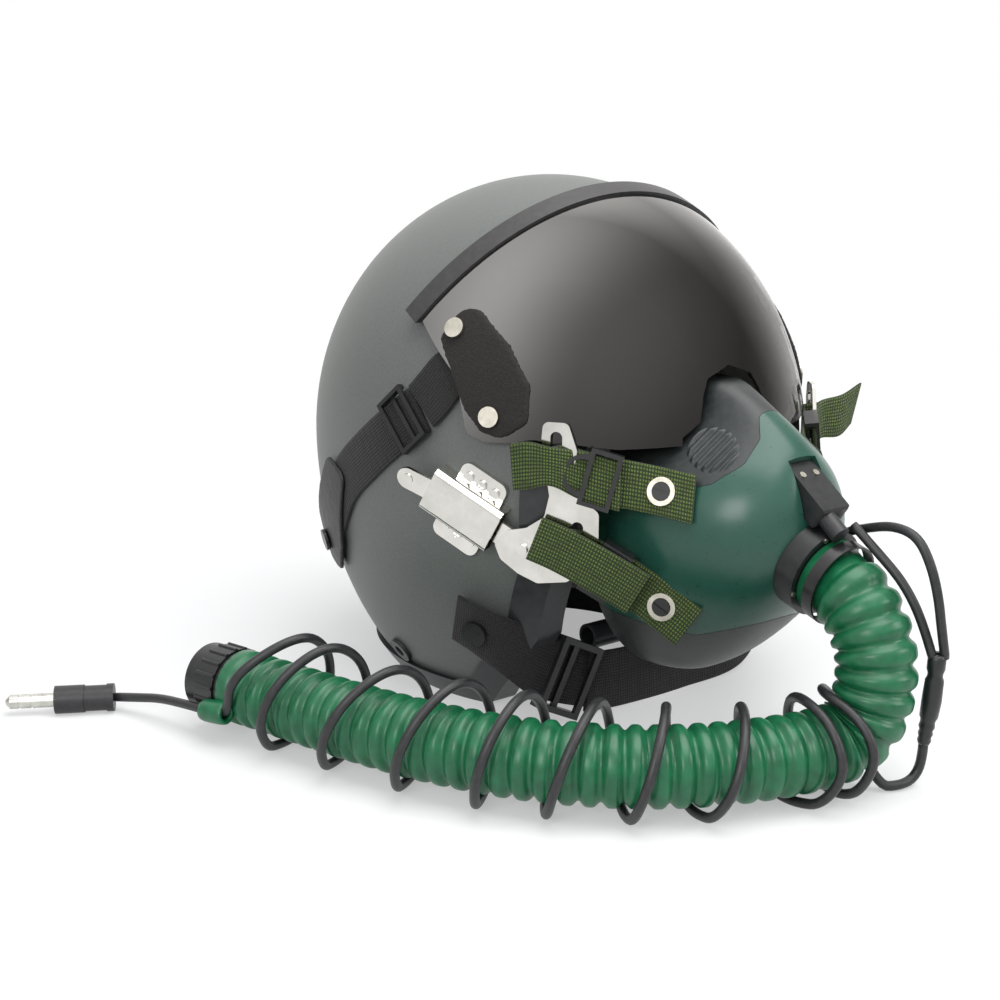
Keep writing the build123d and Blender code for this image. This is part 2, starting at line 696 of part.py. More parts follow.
def make_port():
    """Flanged valve housing with its hose nozzle, web and spider, and its screws."""
    skirt = disc(port, port_radius, -port_skirt, port_flange) - mask_form(-seat_gap)
    housing = skirt + disc(port, barrel_radius, -barrel_depth, port_flange)
    housing += disc(port, nozzle_radius, port_flange, port_flange + nozzle_length)
    housing -= disc(port, barrel_bore, -overrun, -web_depth)
    housing -= disc(port, nozzle_bore, -web_depth * 2, overrun)
    web_low = -web_depth * 2 - valve_sheet - valve_travel - web_depth
    spider = disc(port, stem_radius * 2, -web_depth, port_flange)
    for turn in (0, math.pi * 2 / 3, math.pi * 4 / 3):
        ahead = port.x_dir * math.cos(turn) + port.y_dir * math.sin(turn)
        arm = Plane(origin=port.origin, x_dir=ahead, z_dir=port.z_dir)
        spider += brick(arm, 0, nozzle_bore + seat_gap, -spider_bar / 2, spider_bar / 2, -web_depth, port_flange)
    housing = housing + spider - disc(port, stem_radius + part_gap, -overrun, overrun)
    guard = disc(port, barrel_bore, web_low - web_depth, web_low) - disc(port, exhale_bore, -overrun, 0)
    housing += guard
    screws = []
    for i in range(port_screw_count):
        turn = math.radians(port_screw_angle + i * 360 / port_screw_count)
        x, y = port_screw_ring * math.cos(turn), port_screw_ring * math.sin(turn)
        screws.append(disc(port, port_screw_radius, port_flange, port_flange + port_screw_radius / 2, x, y))
    return housing, screws


def make_valves():
    """Inhalation disc with its stem, and the exhalation ring round it."""
    top = -web_depth - part_gap
    inhale = disc(port, inhale_disc_radius, top - valve_sheet, top)
    inhale += disc(port, stem_radius, top, top + stem_length - web_depth)
    ring = disc(port, exhale_disc_radius, top - valve_sheet, top)
    ring -= disc(port, inhale_disc_radius + part_gap, -overrun, overrun)
    return inhale, ring


def make_mic():
    """Microphone housing, capsule, cord boot and cover screws."""
    housing = mic_body()
    housing = chamfer(housing.faces().sort_by(lambda f: f.center().Y)[0].edges(), mic_corner / 2)
    housing -= disc(mic, mic_capsule_radius - seat_gap, -mic_depth * 2, -mic_depth + mic_corner)
    capsule = disc(mic, mic_capsule_radius - seat_gap * 2, -mic_depth - mic_capsule_depth, -mic_depth + mic_corner)
    nose = Plane(origin=mic.from_local_coords(Vector(mic_length / 2, -boot_side, -mic_depth / 2)),
                 x_dir=mic.y_dir, z_dir=mic.x_dir)
    boot = disc(nose, boot_radius, 0, boot_length)
    boot -= disc(port, port_radius + seat_gap, -overrun, port_flange + seat_gap)
    screws = []
    for x, y in ((-mic_length / 4, -mic_width / 4), (-mic_length / 4, mic_width / 4)):
        screws.append(disc(mic, mic_screw_radius, 0, mic_screw_height, x, y))
    return housing, capsule, boot, screws


# Straps of the mask

upper_stations = [((-43.6, -157, 126), (-0.27, -0.2, -0.94), 22), ((-49.3, -142, 127.5), (-0.25, -0.18, -0.95), 22),
                  ((-55.5, -133, 129), (-0.2, -0.14, -0.97), 22), ((-67.5, -121, 132), (-0.1, -0.07, -0.99), 22),
                  ((-79.9, -107.7, 138.3), (0, 0, -1), 18)]
upper_return = [((-64.6, -131.2, 129.6), (-0.1, -0.07, -0.99), 22), ((-76.9, -118.2, 134.4), (-0.1, -0.07, -0.99), 22),
                ((-88.5, -110.8, 138.8), (0, 0, -1), 18), ((-94.5, -102, 138.5), (0, 0, -1), 22),
                ((-98.8, -95, 137), (0.1, 0, -1), 22)]
lower_stations = [((-42.5, -155, 65), (-0.33, 0.44, -0.84), 22), ((-48.8, -143.5, 73.5), (-0.33, 0.44, -0.84), 22),
                  ((-54, -136, 79.5), (-0.3, 0.4, -0.87), 22), ((-66, -124, 90), (-0.26, 0.37, -0.89), 22),
                  ((-76.5, -113, 98.5), (-0.2, 0.3, -0.93), 20)]
lower_return = [((-60.5, -140, 80.5), (-0.3, 0.4, -0.87), 22), ((-74.3, -128.3, 91.5), (-0.24, 0.34, -0.9), 22),
                ((-85.3, -114.5, 100), (-0.2, 0.3, -0.93), 22), ((-92.5, -103.8, 104.5), (-0.2, 0.3, -0.93), 22)]


def make_strap(stations, back, clear):
    """Webbing from the mask through the fork's slot and back over itself."""
    strap = band(stations, web_thickness) + band(back, web_thickness)
    strap += band([stations[-1], back[2]], web_thickness)
    return strap - clear


def strap_plane(stations, index):
    """A plane on the strap's outer face at one of its stations."""
    ahead = Vector(*stations[index + 1][0]) - Vector(*stations[index - 1][0])
    edge = Vector(*stations[index][1])
    normal = ahead.cross(edge).normalized()
    if normal.X > 0:
        normal = normal * -1
    return tangent_plane(Vector(*stations[index][0]) + normal * (web_thickness / 2), normal, tuple(ahead))


def make_strap_screw(plane):
    """Slotted screw in its bright grommet."""
    grommet = disc(plane, grommet_radius, seat_gap, grommet_height + seat_gap)
    grommet -= disc(plane, strap_screw_radius + seat_gap, -overrun, overrun)
    screw = disc(plane, strap_screw_radius, seat_gap, strap_screw_height)
    screw -= brick(plane, -strap_screw_radius * 2, strap_screw_radius * 2, -strap_slot / 2, strap_slot / 2,
                   strap_screw_height / 2, overrun)
    return screw, grommet


def make_buckle(plane, width, length, bar, stack, tab):
    """Ladder lock with a rounded release tab, round a stack of webbing whose first layer lies under the plane."""
    high = stack + part_gap + bar * bar_depth_share
    frame = ladder(plane, width, length, bar, high, -part_gap, part_gap)
    if tab:
        low = high - bar * bar_depth_share
        reach = brick(plane, length / 2 - bar / 2, overrun, -overrun, overrun, low, high)
        ear = disc(plane, tab, low, high, length / 2) & reach
        frame += ear - disc(plane, tab - bar * tab_wall_share, -overrun, overrun, length / 2 + bar / 2)
    return frame


# The chin strap

chin_side = [((-103.5, -56.5, 56), (0.2, 0.45, -0.87)), ((-98.5, -67.5, 51), (0.2, 0.4, -0.89)),
             ((-88, -79.5, 43), (0, 0.25, -0.97)), ((-65, -82.5, 28.5), (-0.46, 0, -0.89)),
             ((-40, -81.5, 18), (-0.2, 0, -0.98))]
chin_middle = [((-44, -86, 17.5), (-0.15, 0, -0.98)), ((-20, -87, 16), (0, 0, -1)), ((20, -87, 15.7), (0, 0, -1)),
               ((60, -87, 19.5), (0.2, 0, -0.98)), ((90, -82, 43), (0, 0.25, -0.97)),
               ((98.5, -67.5, 51), (-0.2, 0.4, -0.89)), ((103.5, -56.5, 56), (-0.2, 0.45, -0.87))]


def make_chin():
    """Chin webbing in two pieces, the buckle between them, the roll and the screws."""
    clear = (egg(seat_gap) & edge_block) + roll_outer
    plane = Plane(origin=chin_buckle_place, x_dir=chin_buckle_heading, z_dir=chin_buckle_facing)
    buckle = make_buckle(plane, chin_width + 2 * seat_gap, chin_buckle_length, chin_buckle_bar, chin_thickness * 2, 0)
    short = band([(p, e, chin_width) for p, e in chin_side], chin_thickness) - clear - buckle
    long = band([(p, e, chin_width) for p, e in chin_middle], chin_thickness) - clear - buckle
    tube = Plane(origin=roll_place, x_dir=(0, 0, 1), z_dir=(1, 0, 0))
    roll = disc(tube, roll_radius, -roll_half_length, roll_half_length)
    roll -= disc(tube, roll_bore, -overrun, overrun)
    head_plane = tangent_plane(Vector(*chin_side[1][0]), Vector(*chin_screw_facing).normalized(), (0, 1, 0))
    low = chin_thickness / 2 + seat_gap * 4
    screw = disc(head_plane, chin_screw_radius, low, low + chin_screw_height)
    screw = fillet(screw.edges().filter_by(GeomType.CIRCLE)[-1], chin_screw_height / 3)
    return short - screw, long - screw - mirrored(screw), buckle, roll, screw


def make_rim_grommet():
    """Small rubber grommet on the shell's lower edge."""
    plane = shell_plane(*rim_grommet_share)
    ring = disc(plane, rim_grommet_radius, seat_gap, rim_grommet_height)
    return ring - disc(plane, rim_grommet_bore, -overrun, overrun)


# The hose

def cord_path(route):
    """Straight runs joined by arcs as large as the runs allow, and their radii."""
    points = [Vector(*p) for p in route]
    radii = []
    for a, b, c in zip(points, points[1:], points[2:]):
        turn = math.radians((b - a).get_angle(c - b))
        radii.append(arc_share * min((b - a).length, (c - b).length) / math.tan(turn / 2))
    return FilletPolyline(*points, radius=radii), radii


hose_start = port.from_local_coords(Vector(0, 0, port_flange + seat_gap))
hose_middle, hose_radii = cord_path([hose_start, *hose_route, hose_end])
hose_length = hose_middle.length


def hose_place(distance):
    """Point, tangent and the two directions square to it, at a distance along the hose."""
    where = min(max(distance, 0), hose_length)
    point = hose_middle.position_at(where, position_mode=PositionMode.LENGTH)
    tangent = hose_middle.tangent_at(where, position_mode=PositionMode.LENGTH)
    return point, tangent


def hose_circle(distance, radius):
    """A circle square to the hose, with its seam on a steady side."""
    point, tangent = hose_place(distance)
    seam = Vector(*hose_seam)
    across = seam - tangent * seam.dot(tangent)
    return Plane(origin=point, x_dir=across, z_dir=tangent) * Circle(radius)


def make_hose():
    """Ribbed tube with plain cuffs and a bore."""
    ribbed = hose_length - hose_cuff - hose_pitch
    count = round(ribbed / hose_pitch)
    pitch = ribbed / count
    low = hose_radius - hose_groove
    rings = [hose_circle(0, hose_radius), hose_circle(hose_cuff - hose_groove, hose_radius)]
    bores = [hose_circle(0, hose_bore)]
    for i in range(count):
        start = hose_cuff + i * pitch
        rings += [hose_circle(start + share * pitch, hose_radius - hose_groove * dip) for share, dip in rib_shares]
        bores.append(hose_circle(start, hose_bore))
    last = hose_length - hose_pitch
    rings += [hose_circle(last, low), hose_circle(last + hose_groove, hose_radius)]
    rings.append(hose_circle(hose_length, hose_radius))
    bores += [hose_circle(last, hose_bore), hose_circle(hose_length, hose_bore)]
    print("hose length", round(hose_length, 1), "ribs", count)
    return loft(rings, ruled=True) - loft(bores, ruled=True) + make_end_lug()


def make_connector():
    """End connector in the hose's end, and its turning coupling ring."""
    plane = hose_end_plane()
    body = disc(plane, connector_radius, part_gap, connector_length)
    body += disc(plane, coupling_radius - coupling_ridge * 2, part_gap, connector_lip)
    body -= disc(plane, connector_bore, -overrun, overrun)
    low = connector_lip + part_gap
    ridge_ring = coupling_radius - coupling_ridge
    ring = disc(plane, ridge_ring, low, low + coupling_width)
    for i in range(coupling_ridges):
        turn = math.radians(i * 360 / coupling_ridges)
        x, y = ridge_ring * math.cos(turn), ridge_ring * math.sin(turn)
        ring += disc(plane, coupling_ridge, low, low + coupling_width, x, y)
    ring -= disc(plane, connector_radius + part_gap, -overrun, overrun)
    stop = low + coupling_width + part_gap
    stop_ring = disc(plane, coupling_radius - coupling_ridge * 2, stop, connector_length)
    body += stop_ring - disc(plane, connector_bore, -overrun, overrun)
    return body, ring


def hose_end_plane():
    """A plane at the hose's far end, facing out of it."""
    return Plane(origin=Vector(*hose_end), x_dir=(0, 0, 1), z_dir=Vector(*hose_end_heading).normalized())


def make_end_lug():
    """Moulded lug beside the hose's last cuff, with the cord's hole."""
    first, last = Vector(*tail_route[0]), Vector(*tail_route[2])
    plane = Plane(origin=first, z_dir=last - first)
    lug = disc(plane, end_lug_radius, 0, end_lug_length)
    hose_plane = hose_end_plane()
    lug -= disc(hose_plane, hose_bore + seat_gap, -overrun, overrun)
    lug -= disc(hose_plane, coupling_radius + part_gap * 2, 0, overrun)
    cord_hole, _ = cord_path(tail_route[:3])
    start = Plane(origin=cord_hole.position_at(0), z_dir=cord_hole.tangent_at(0))
    return lug - sweep(start * Circle(end_lug_bore), path=cord_hole)


def make_clamp():
    """Band clamp round the hose's cuff."""
    ring = disc(port, clamp_radius, port_flange + clamp_start, port_flange + clamp_start + clamp_width)
    return ring - disc(port, hose_radius + part_gap * 2, -overrun, overrun)


# The cords


def make_cord(name, route, radius):
    """A round cord along a route, with its radii and volume printed."""
    path, radii = cord_path(route)
    start = Plane(origin=path.position_at(0), z_dir=path.tangent_at(0))
    solid = sweep(start * Circle(radius), path=path)
    ratio = solid.volume / (math.pi * radius ** 2 * path.length)
    print(name, "radii", [round(r, 1) for r in radii], "volume ratio", round(ratio, 3))
    return solid


def winding_point(distance, quarter, radius):
    """A point beside the hose: quarter 0 is on top, 1 on the near side, 2 below, 3 on the far side."""
    point, tangent = hose_place(distance)
    flat = Vector(tangent.X, tangent.Y, 0).normalized()
    near = Vector(-flat.Y, flat.X, 0)
    up = Vector(0, 0, 1)
    turn = math.radians(quarter * 90)
    return point + (up * math.cos(turn) + near * math.sin(turn)) * radius


def winding_points():
    """The winding's quarter points, from the junction's lead to the tail."""
    points = [Vector(*lead_route[-1]), winding_point(winding_first, 3, winding_side_radius)]
    for turn, share in zip(winding_turns, winding_top_shares):
        radii = (winding_floor_radius * share, winding_side_radius, winding_floor_radius, winding_side_radius)
        for quarter, (distance, radius) in enumerate(zip(turn, radii)):
            points.append(winding_point(distance, quarter, radius))
    points.append(winding_point(winding_last[0], 0, winding_floor_radius * winding_top_shares[-1]))
    points.append(winding_point(winding_last[1], winding_last_quarter, winding_side_radius * winding_top_shares[0]))
    points.append(Vector(*tail_route[0]))
    return points


def biarc(p0, t0, p1, t1):
    """Two tangent arcs from one point and direction to another."""
    v = p1 - p0
    both = t0 + t1
    a = 2 * (t0.dot(t1) - 1)
    b = -2 * v.dot(both)
    c = v.dot(v)
    d = c / -b if abs(a) < 1e-9 else (-b - math.sqrt(b * b - 4 * a * c)) / (2 * a)
    if d < 0:
        d = (-b + math.sqrt(b * b - 4 * a * c)) / (2 * a)
    middle = (p0 + t0 * d + p1 - t1 * d) * 0.5
    first = TangentArc(p0, middle, tangent=t0)
    second = TangentArc(middle, p1, tangent=first.tangent_at(1))
    return [first, second]


def make_winding():
    """The comm cord's turns round the hose, as one tube on biarcs."""
    points = winding_points()
    tangents = [(ahead - behind).normalized() for behind, ahead in zip(points, points[2:])]
    tangents.insert(0, (Vector(*lead_route[-1]) - Vector(*lead_route[-2])).normalized())
    tangents.append((Vector(*tail_route[1]) - Vector(*tail_route[0])).normalized())
    edges = []
    for i in range(len(points) - 1):
        edges += biarc(points[i], tangents[i], points[i + 1], tangents[i + 1])
    path = Wire(edges)
    start = Plane(origin=points[0], z_dir=tangents[0])
    solid = sweep(start * Circle(cord_radius), path=path)
    print("winding volume ratio", round(solid.volume / (math.pi * cord_radius ** 2 * path.length), 3))
    print("winding least gap", round(least_gap(path), 2))
    return solid, points, tangents


def least_gap(path):
    """Least clear distance between turns, on points along the winding."""
    count = int(path.length / cord_radius)
    step = path.length / count
    samples = [path.position_at(i * step, position_mode=PositionMode.LENGTH) for i in range(count + 1)]
    skip = int(winding_side_radius / cord_radius)
    best = path.length
    for i, a in enumerate(samples):
        for b in samples[i + skip:]:
            best = min(best, (a - b).length)
    return best - 2 * cord_radius


def make_plug():
    """Moulded plug body with its grooved pin."""
    heading = Vector(*plug_heading).normalized()
    plane = Plane(origin=Vector(*tail_route[-1]), x_dir=(0, 0, 1), z_dir=heading)
    body = disc(plane, plug_radius, 0, plug_length)
    first, last, slim = plug_waist_shares
    waist = disc(plane, plug_radius, plug_length * first, plug_length * last)
    body -= waist - disc(plane, plug_radius * slim, 0, plug_length)
    pin = disc(plane, plug_pin_radius, plug_length, plug_length + plug_pin_length)
    beyond = plane.from_local_coords(Vector(0, 0, overrun * 2))
    tip = pin.edges().filter_by(GeomType.CIRCLE).sort_by_distance(beyond)[0]
    pin = chamfer(tip, plug_pin_radius * plug_tip_share)
    for share in plug_groove_shares:
        x = plug_length + plug_pin_length * share
        ring = disc(plane, plug_pin_radius * 2, x, x + plug_pin_groove * 2)
        pin -= ring - disc(plane, plug_pin_radius - plug_pin_groove, 0, plug_length + plug_pin_length)
    return body, pin


# Build every piece

nodes = {}
shell = make_shell()
roll = make_roll(shell)
roll_strip = side_block(offset(edge_face, amount=roll_lip + seat_gap))
roll_strip -= side_block(offset(edge_face, amount=-roll_cover - seat_gap))
roll_outer = (egg(roll_proud + seat_gap) - egg(-shell_wall - roll_depth - seat_gap)) & roll_strip
nodes["outer_shell"] = shell
nodes["edge_roll"] = roll
nodes["impact_liner"] = make_liner()
nodes["brow_pad"], nodes["crown_pad"], nodes["nape_pad"] = make_pads()
pairs = {}
ear_cup, ear_seal, earphone = make_ear()
base, cover, lever, pin, screws, rivets = make_receiver()
pairs["latch_lever"] = lever
lens = make_lens()
nodes["visor_lens"] = lens
nodes["visor_trim"] = make_trim(lens)
roll_room = egg(roll_proud + part_gap) & side_block(offset(edge_face, amount=roll_lip + part_gap))
clear_of_visor = visor_room() + roll_room
bayonet = make_bayonet() - clear_of_visor
clear_of_forks = fork_form(seat_gap) + clear_of_visor
visor_patch, snaps = make_patch()
keeper, keeper_snap = make_keeper()
nodes["mask_shell"], nodes["face_form"] = make_mask()
nodes["hose_port"], port_screws = make_port()
nodes["inhalation_valve"], nodes["exhalation_valve"] = make_valves()
nodes["mic_housing"], nodes["microphone"], nodes["mic_boot"], mic_screws = make_mic()
strap_screws, grommets, buckles = [], [], []
web_routes = {"upper_strap": (upper_stations, upper_return), "lower_strap": (lower_stations, lower_return)}
for name, (stations, back) in web_routes.items():
    screw, grommet = make_strap_screw(strap_plane(stations, 1))
    frame_width = web_width + 2 * seat_gap
    buckle = make_buckle(strap_plane(stations, 3), frame_width, buckle_length, buckle_bar, web_lift, buckle_tab)
    buckle -= clear_of_forks
    strap_screws.append(screw)
    grommets.append(grommet)
    buckles.append(buckle)
    pairs[name] = make_strap(stations, back, clear_of_forks + mask_form(-seat_gap)) - buckle - screw - grommet
short_chin, long_chin, nodes["chin_buckle"], nodes["chin_roll"], chin_screw = make_chin()
nodes["chin_strap_right"] = short_chin
nodes["chin_strap_left"] = long_chin

for name, piece in pairs.items():
    nodes[name + "_right"] = piece
    nodes[name + "_left"] = mirrored(piece)


def both_sides(pieces):
    """Pieces of one kind on both sides, as a group of separate solids."""
    return Compound([s for p in pieces for s in p.solids()] + [s for p in pieces for s in mirrored(p).solids()])


nodes["ear_cups"] = both_sides([ear_cup])
nodes["ear_seals"] = both_sides([ear_seal])
nodes["earphones"] = both_sides([earphone])
nodes["receiver_bases"] = both_sides([base])
nodes["receiver_covers"] = both_sides([cover])
nodes["receiver_screws"] = both_sides(screws)
nodes["receiver_rivets"] = both_sides(rivets)
nodes["bayonets"] = both_sides([bayonet])
nodes["visor_straps"] = both_sides([make_elastic()])
nodes["visor_patches"] = both_sides([visor_patch])
nodes["strap_adjusters"] = both_sides([make_adjuster()])
nodes["rear_keepers"] = both_sides([keeper])
nodes["latch_pins"] = both_sides([pin])
nodes["visor_snaps"] = both_sides(snaps)
nodes["keeper_snaps"] = both_sides([keeper_snap])
nodes["strap_screws"] = both_sides(strap_screws)
nodes["port_screws"] = Compound(port_screws + mic_screws)
nodes["strap_grommets"] = both_sides(grommets)
nodes["strap_buckles"] = both_sides(buckles)
nodes["chin_screws"] = both_sides([chin_screw])
nodes["rim_grommets"] = both_sides([make_rim_grommet()])

cords = {}
cords["hose"] = make_hose()
cords["hose_clamp"] = make_clamp()
cords["hose_connector"], cords["hose_coupling"] = make_connector()
cords["mic_lead"] = make_cord("mic lead", mic_lead_route, cord_radius)
cords["second_lead"] = make_cord("second lead", second_lead_route, cord_radius) - nodes["hose_port"]
cords["cord_winding"], wound, wound_tangents = make_winding()
cords["plug_body"], cords["plug_pin"] = make_plug()
junction_line = Vector(*junction_route[1]) - Vector(*junction_route[0])
junction_plane = Plane(origin=Vector(*junction_route[0]), z_dir=junction_line)
cords["cord_junction"] = disc(junction_plane, junction_radius, 0, junction_line.length)
cords["cord_lead"] = make_cord("cord lead", lead_route, cord_radius) - cords["cord_junction"]
end_room = disc(hose_end_plane(), coupling_radius + part_gap, 0, connector_length + part_gap)
plug_plane = Plane(origin=Vector(*tail_route[-1]), z_dir=Vector(*plug_heading).normalized())
end_room += disc(plug_plane, plug_radius, -part_gap, plug_length)
cords["cord_tail"] = make_cord("cord tail", tail_route, cord_radius) - end_room
print("winding start", wound[0], wound_tangents[0], "end", wound[-1], wound_tangents[-1])

# Move the origin under the middle of the object, and write one file for each node

boxes = [piece.bounding_box() for piece in nodes.values()]
front = min(box.min.Y for box in boxes)
back = max(box.max.Y for box in boxes)
shift = -(front + back) / 2
print("shift", round(shift, 3), "size", round(back - front, 2), "bottom", round(min(b.min.Z for b in boxes), 3))
os.makedirs("parts", exist_ok=True)
for name, piece in {**nodes, **cords}.items():
    export_step(Pos(0, shift, 0) * piece, "parts/" + name + ".step")
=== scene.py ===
# %% [markdown]
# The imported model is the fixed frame. It holds the hard pieces of the helmet, the visor and the mask at
# their real size. Everything below adds finishes to it, or stands a softer, finer piece in a node's place.

# %% Load the frame
import math

import bmesh
import bpy
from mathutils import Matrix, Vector


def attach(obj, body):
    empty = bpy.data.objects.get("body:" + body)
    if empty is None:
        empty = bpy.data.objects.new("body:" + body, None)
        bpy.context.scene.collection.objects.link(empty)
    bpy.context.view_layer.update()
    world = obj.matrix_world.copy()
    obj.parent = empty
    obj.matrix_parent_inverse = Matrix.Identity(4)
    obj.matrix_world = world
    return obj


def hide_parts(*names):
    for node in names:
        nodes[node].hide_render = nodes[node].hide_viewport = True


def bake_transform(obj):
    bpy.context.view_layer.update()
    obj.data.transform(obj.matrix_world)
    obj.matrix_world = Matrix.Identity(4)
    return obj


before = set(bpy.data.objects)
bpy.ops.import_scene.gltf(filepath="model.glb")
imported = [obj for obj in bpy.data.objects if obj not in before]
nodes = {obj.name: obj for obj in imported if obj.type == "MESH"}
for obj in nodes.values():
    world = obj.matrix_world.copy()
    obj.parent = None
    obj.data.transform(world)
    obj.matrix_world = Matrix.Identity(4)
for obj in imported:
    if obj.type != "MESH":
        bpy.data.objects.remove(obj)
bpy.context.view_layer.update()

# %% [markdown]
# The helmet was drawn with its own axis on y = 0, in millimetres. This helper turns such a point into
# metres in the frame's place, so that routes and strap points read as they do in the part's source.

# %% Places
MM = 0.001
AXIS_SHIFT = 38.778


def at(x, y, z):
    """A point of the drawing, in metres in the frame."""
    return Vector((x, y + AXIS_SHIFT, z)) * MM


# %% [markdown]
# The camera stands to the wearer's right of the face, a little above the visor, and looks slightly down.
# A long lens keeps the hose in front from looking too big.

# %% Camera
CAMERA_AZIMUTH = -37.0
CAMERA_PITCH = 14.5
CAMERA_LENS = 56.16

camera_data = bpy.data.cameras.new("camera")
camera_data.lens = CAMERA_LENS
camera_data.sensor_width = 36.0
camera_data.clip_start = 0.01
camera = bpy.data.objects.new("camera", camera_data)
camera.location = at(-518.0, -642.6, 300.0)
camera.rotation_euler = (math.radians(90 - CAMERA_PITCH), 0, math.radians(CAMERA_AZIMUTH))
bpy.context.scene.collection.objects.link(camera)
bpy.context.scene.camera = camera

# %% [markdown]
# Studio light: a broad soft lamp overhead and two weaker ones beside the camera. The world is a pale grey for
# the object and white behind it. For shiny surfaces it darkens from overhead to the horizon, as a room does.
# The lamps leave the visor out, so that it mirrors that smooth room and no square lamps.

# %% Light
OVERHEAD = (-0.45, -0.35, 0.82)
BEHIND = (0.6, 0.8, 0)
scene = bpy.context.scene
scene.view_settings.view_transform = "Standard"


def area_lamp(name, place, target, size, power):
    """A soft square lamp that faces its target."""
    data = bpy.data.lights.new(name, "AREA")
    data.size = size
    data.energy = power
    lamp = bpy.data.objects.new(name, data)
    lamp.location = place
    lamp.rotation_euler = (Vector(target) - Vector(place)).to_track_quat("-Z", "Y").to_euler()
    scene.collection.objects.link(lamp)
    lamp.light_linking.receiver_collection = lit_pieces
    return lamp


lit_pieces = bpy.data.collections.new("lit_pieces")
lit_pieces.objects.link(nodes["visor_lens"])
lit_pieces.collection_objects[0].light_linking.link_state = "EXCLUDE"
area_lamp("lamp_over", (0.1, -0.35, 1.5), (0, 0, 0.1), 1.3, 18)
area_lamp("lamp_left", (-1.4, -0.8, 0.8), (0, 0, 0.1), 0.6, 7)
area_lamp("lamp_right", (0.9, -1.4, 0.8), (0, 0, 0.1), 0.7, 8)

world = bpy.data.worlds.new("studio")
scene.world = world
world.use_nodes = True
tree = world.node_tree
tree.nodes.clear()
light_path = tree.nodes.new("ShaderNodeLightPath")
seen = tree.nodes.new("ShaderNodeMath")
seen.operation = "MAXIMUM"
tree.links.new(light_path.outputs["Is Camera Ray"], seen.inputs[0])
tree.links.new(light_path.outputs["Is Transmission Ray"], seen.inputs[1])
way = tree.nodes.new("ShaderNodeTexCoord")
toward = tree.nodes.new("ShaderNodeVectorMath")
toward.operation = "DOT_PRODUCT"
toward.inputs[1].default_value = OVERHEAD
tree.links.new(way.outputs["Generated"], toward.inputs[0])
room = tree.nodes.new("ShaderNodeValToRGB")
room.color_ramp.elements[0].position = 0.05
room.color_ramp.elements[0].color = (0.36, 0.355, 0.35, 1)
room.color_ramp.elements[1].position = 0.95
room.color_ramp.elements[1].color = (1.6, 1.6, 1.6, 1)
middle = room.color_ramp.elements.new(0.45)
middle.color = (0.8, 0.79, 0.78, 1)
tree.links.new(toward.outputs["Value"], room.inputs["Fac"])
tone = tree.nodes.new("ShaderNodeMix")
tone.data_type = "RGBA"
tone.inputs["A"].default_value = (0.54, 0.55, 0.56, 1)
tree.links.new(light_path.outputs["Is Glossy Ray"], tone.inputs["Factor"])
tree.links.new(room.outputs["Color"], tone.inputs["B"])
behind = tree.nodes.new("ShaderNodeVectorMath")
behind.operation = "DOT_PRODUCT"
behind.inputs[1].default_value = BEHIND
tree.links.new(way.outputs["Generated"], behind.inputs[0])
backdrop = tree.nodes.new("ShaderNodeMapRange")
backdrop.inputs["From Min"].default_value = 0.3
backdrop.inputs["From Max"].default_value = 0.8
backdrop.inputs["To Max"].default_value = 2.2
tree.links.new(behind.outputs["Value"], backdrop.inputs["Value"])
power = tree.nodes.new("ShaderNodeMath")
power.operation = "MULTIPLY_ADD"
power.inputs[2].default_value = 1.0
tree.links.new(backdrop.outputs["Result"], power.inputs[0])
tree.links.new(light_path.outputs["Is Glossy Ray"], power.inputs[1])
soft = tree.nodes.new("ShaderNodeBackground")
tree.links.new(tone.outputs["Result"], soft.inputs["Color"])
tree.links.new(power.outputs[0], soft.inputs["Strength"])
white = tree.nodes.new("ShaderNodeBackground")
white.inputs["Color"].default_value = (1, 1, 1, 1)
white.inputs["Strength"].default_value = 1.0
mixed = tree.nodes.new("ShaderNodeMixShader")
output = tree.nodes.new("ShaderNodeOutputWorld")
tree.links.new(seen.outputs[0], mixed.inputs[0])
tree.links.new(soft.outputs[0], mixed.inputs[1])
tree.links.new(white.outputs[0], mixed.inputs[2])
tree.links.new(mixed.outputs[0], output.inputs["Surface"])

# %% [markdown]
# Each finish starts from the same few nodes: a shader, a noise that varies the colour and the gloss a
# little, and a bump. The webbing's weave, with a painted highlight on each yarn, is then added to it.

# %% Finish helper
YARN_ACROSS = 0.8
YARN_ALONG = 0.62


def linear(red, green, blue):
    """A screen colour, 0 to 255, as the linear colour that a shader takes."""
    shares = [value / 255 for value in (red, green, blue)]
    return (*(((v + 0.055) / 1.055) ** 2.4 if v > 0.04 else v / 12.92 for v in shares), 1)


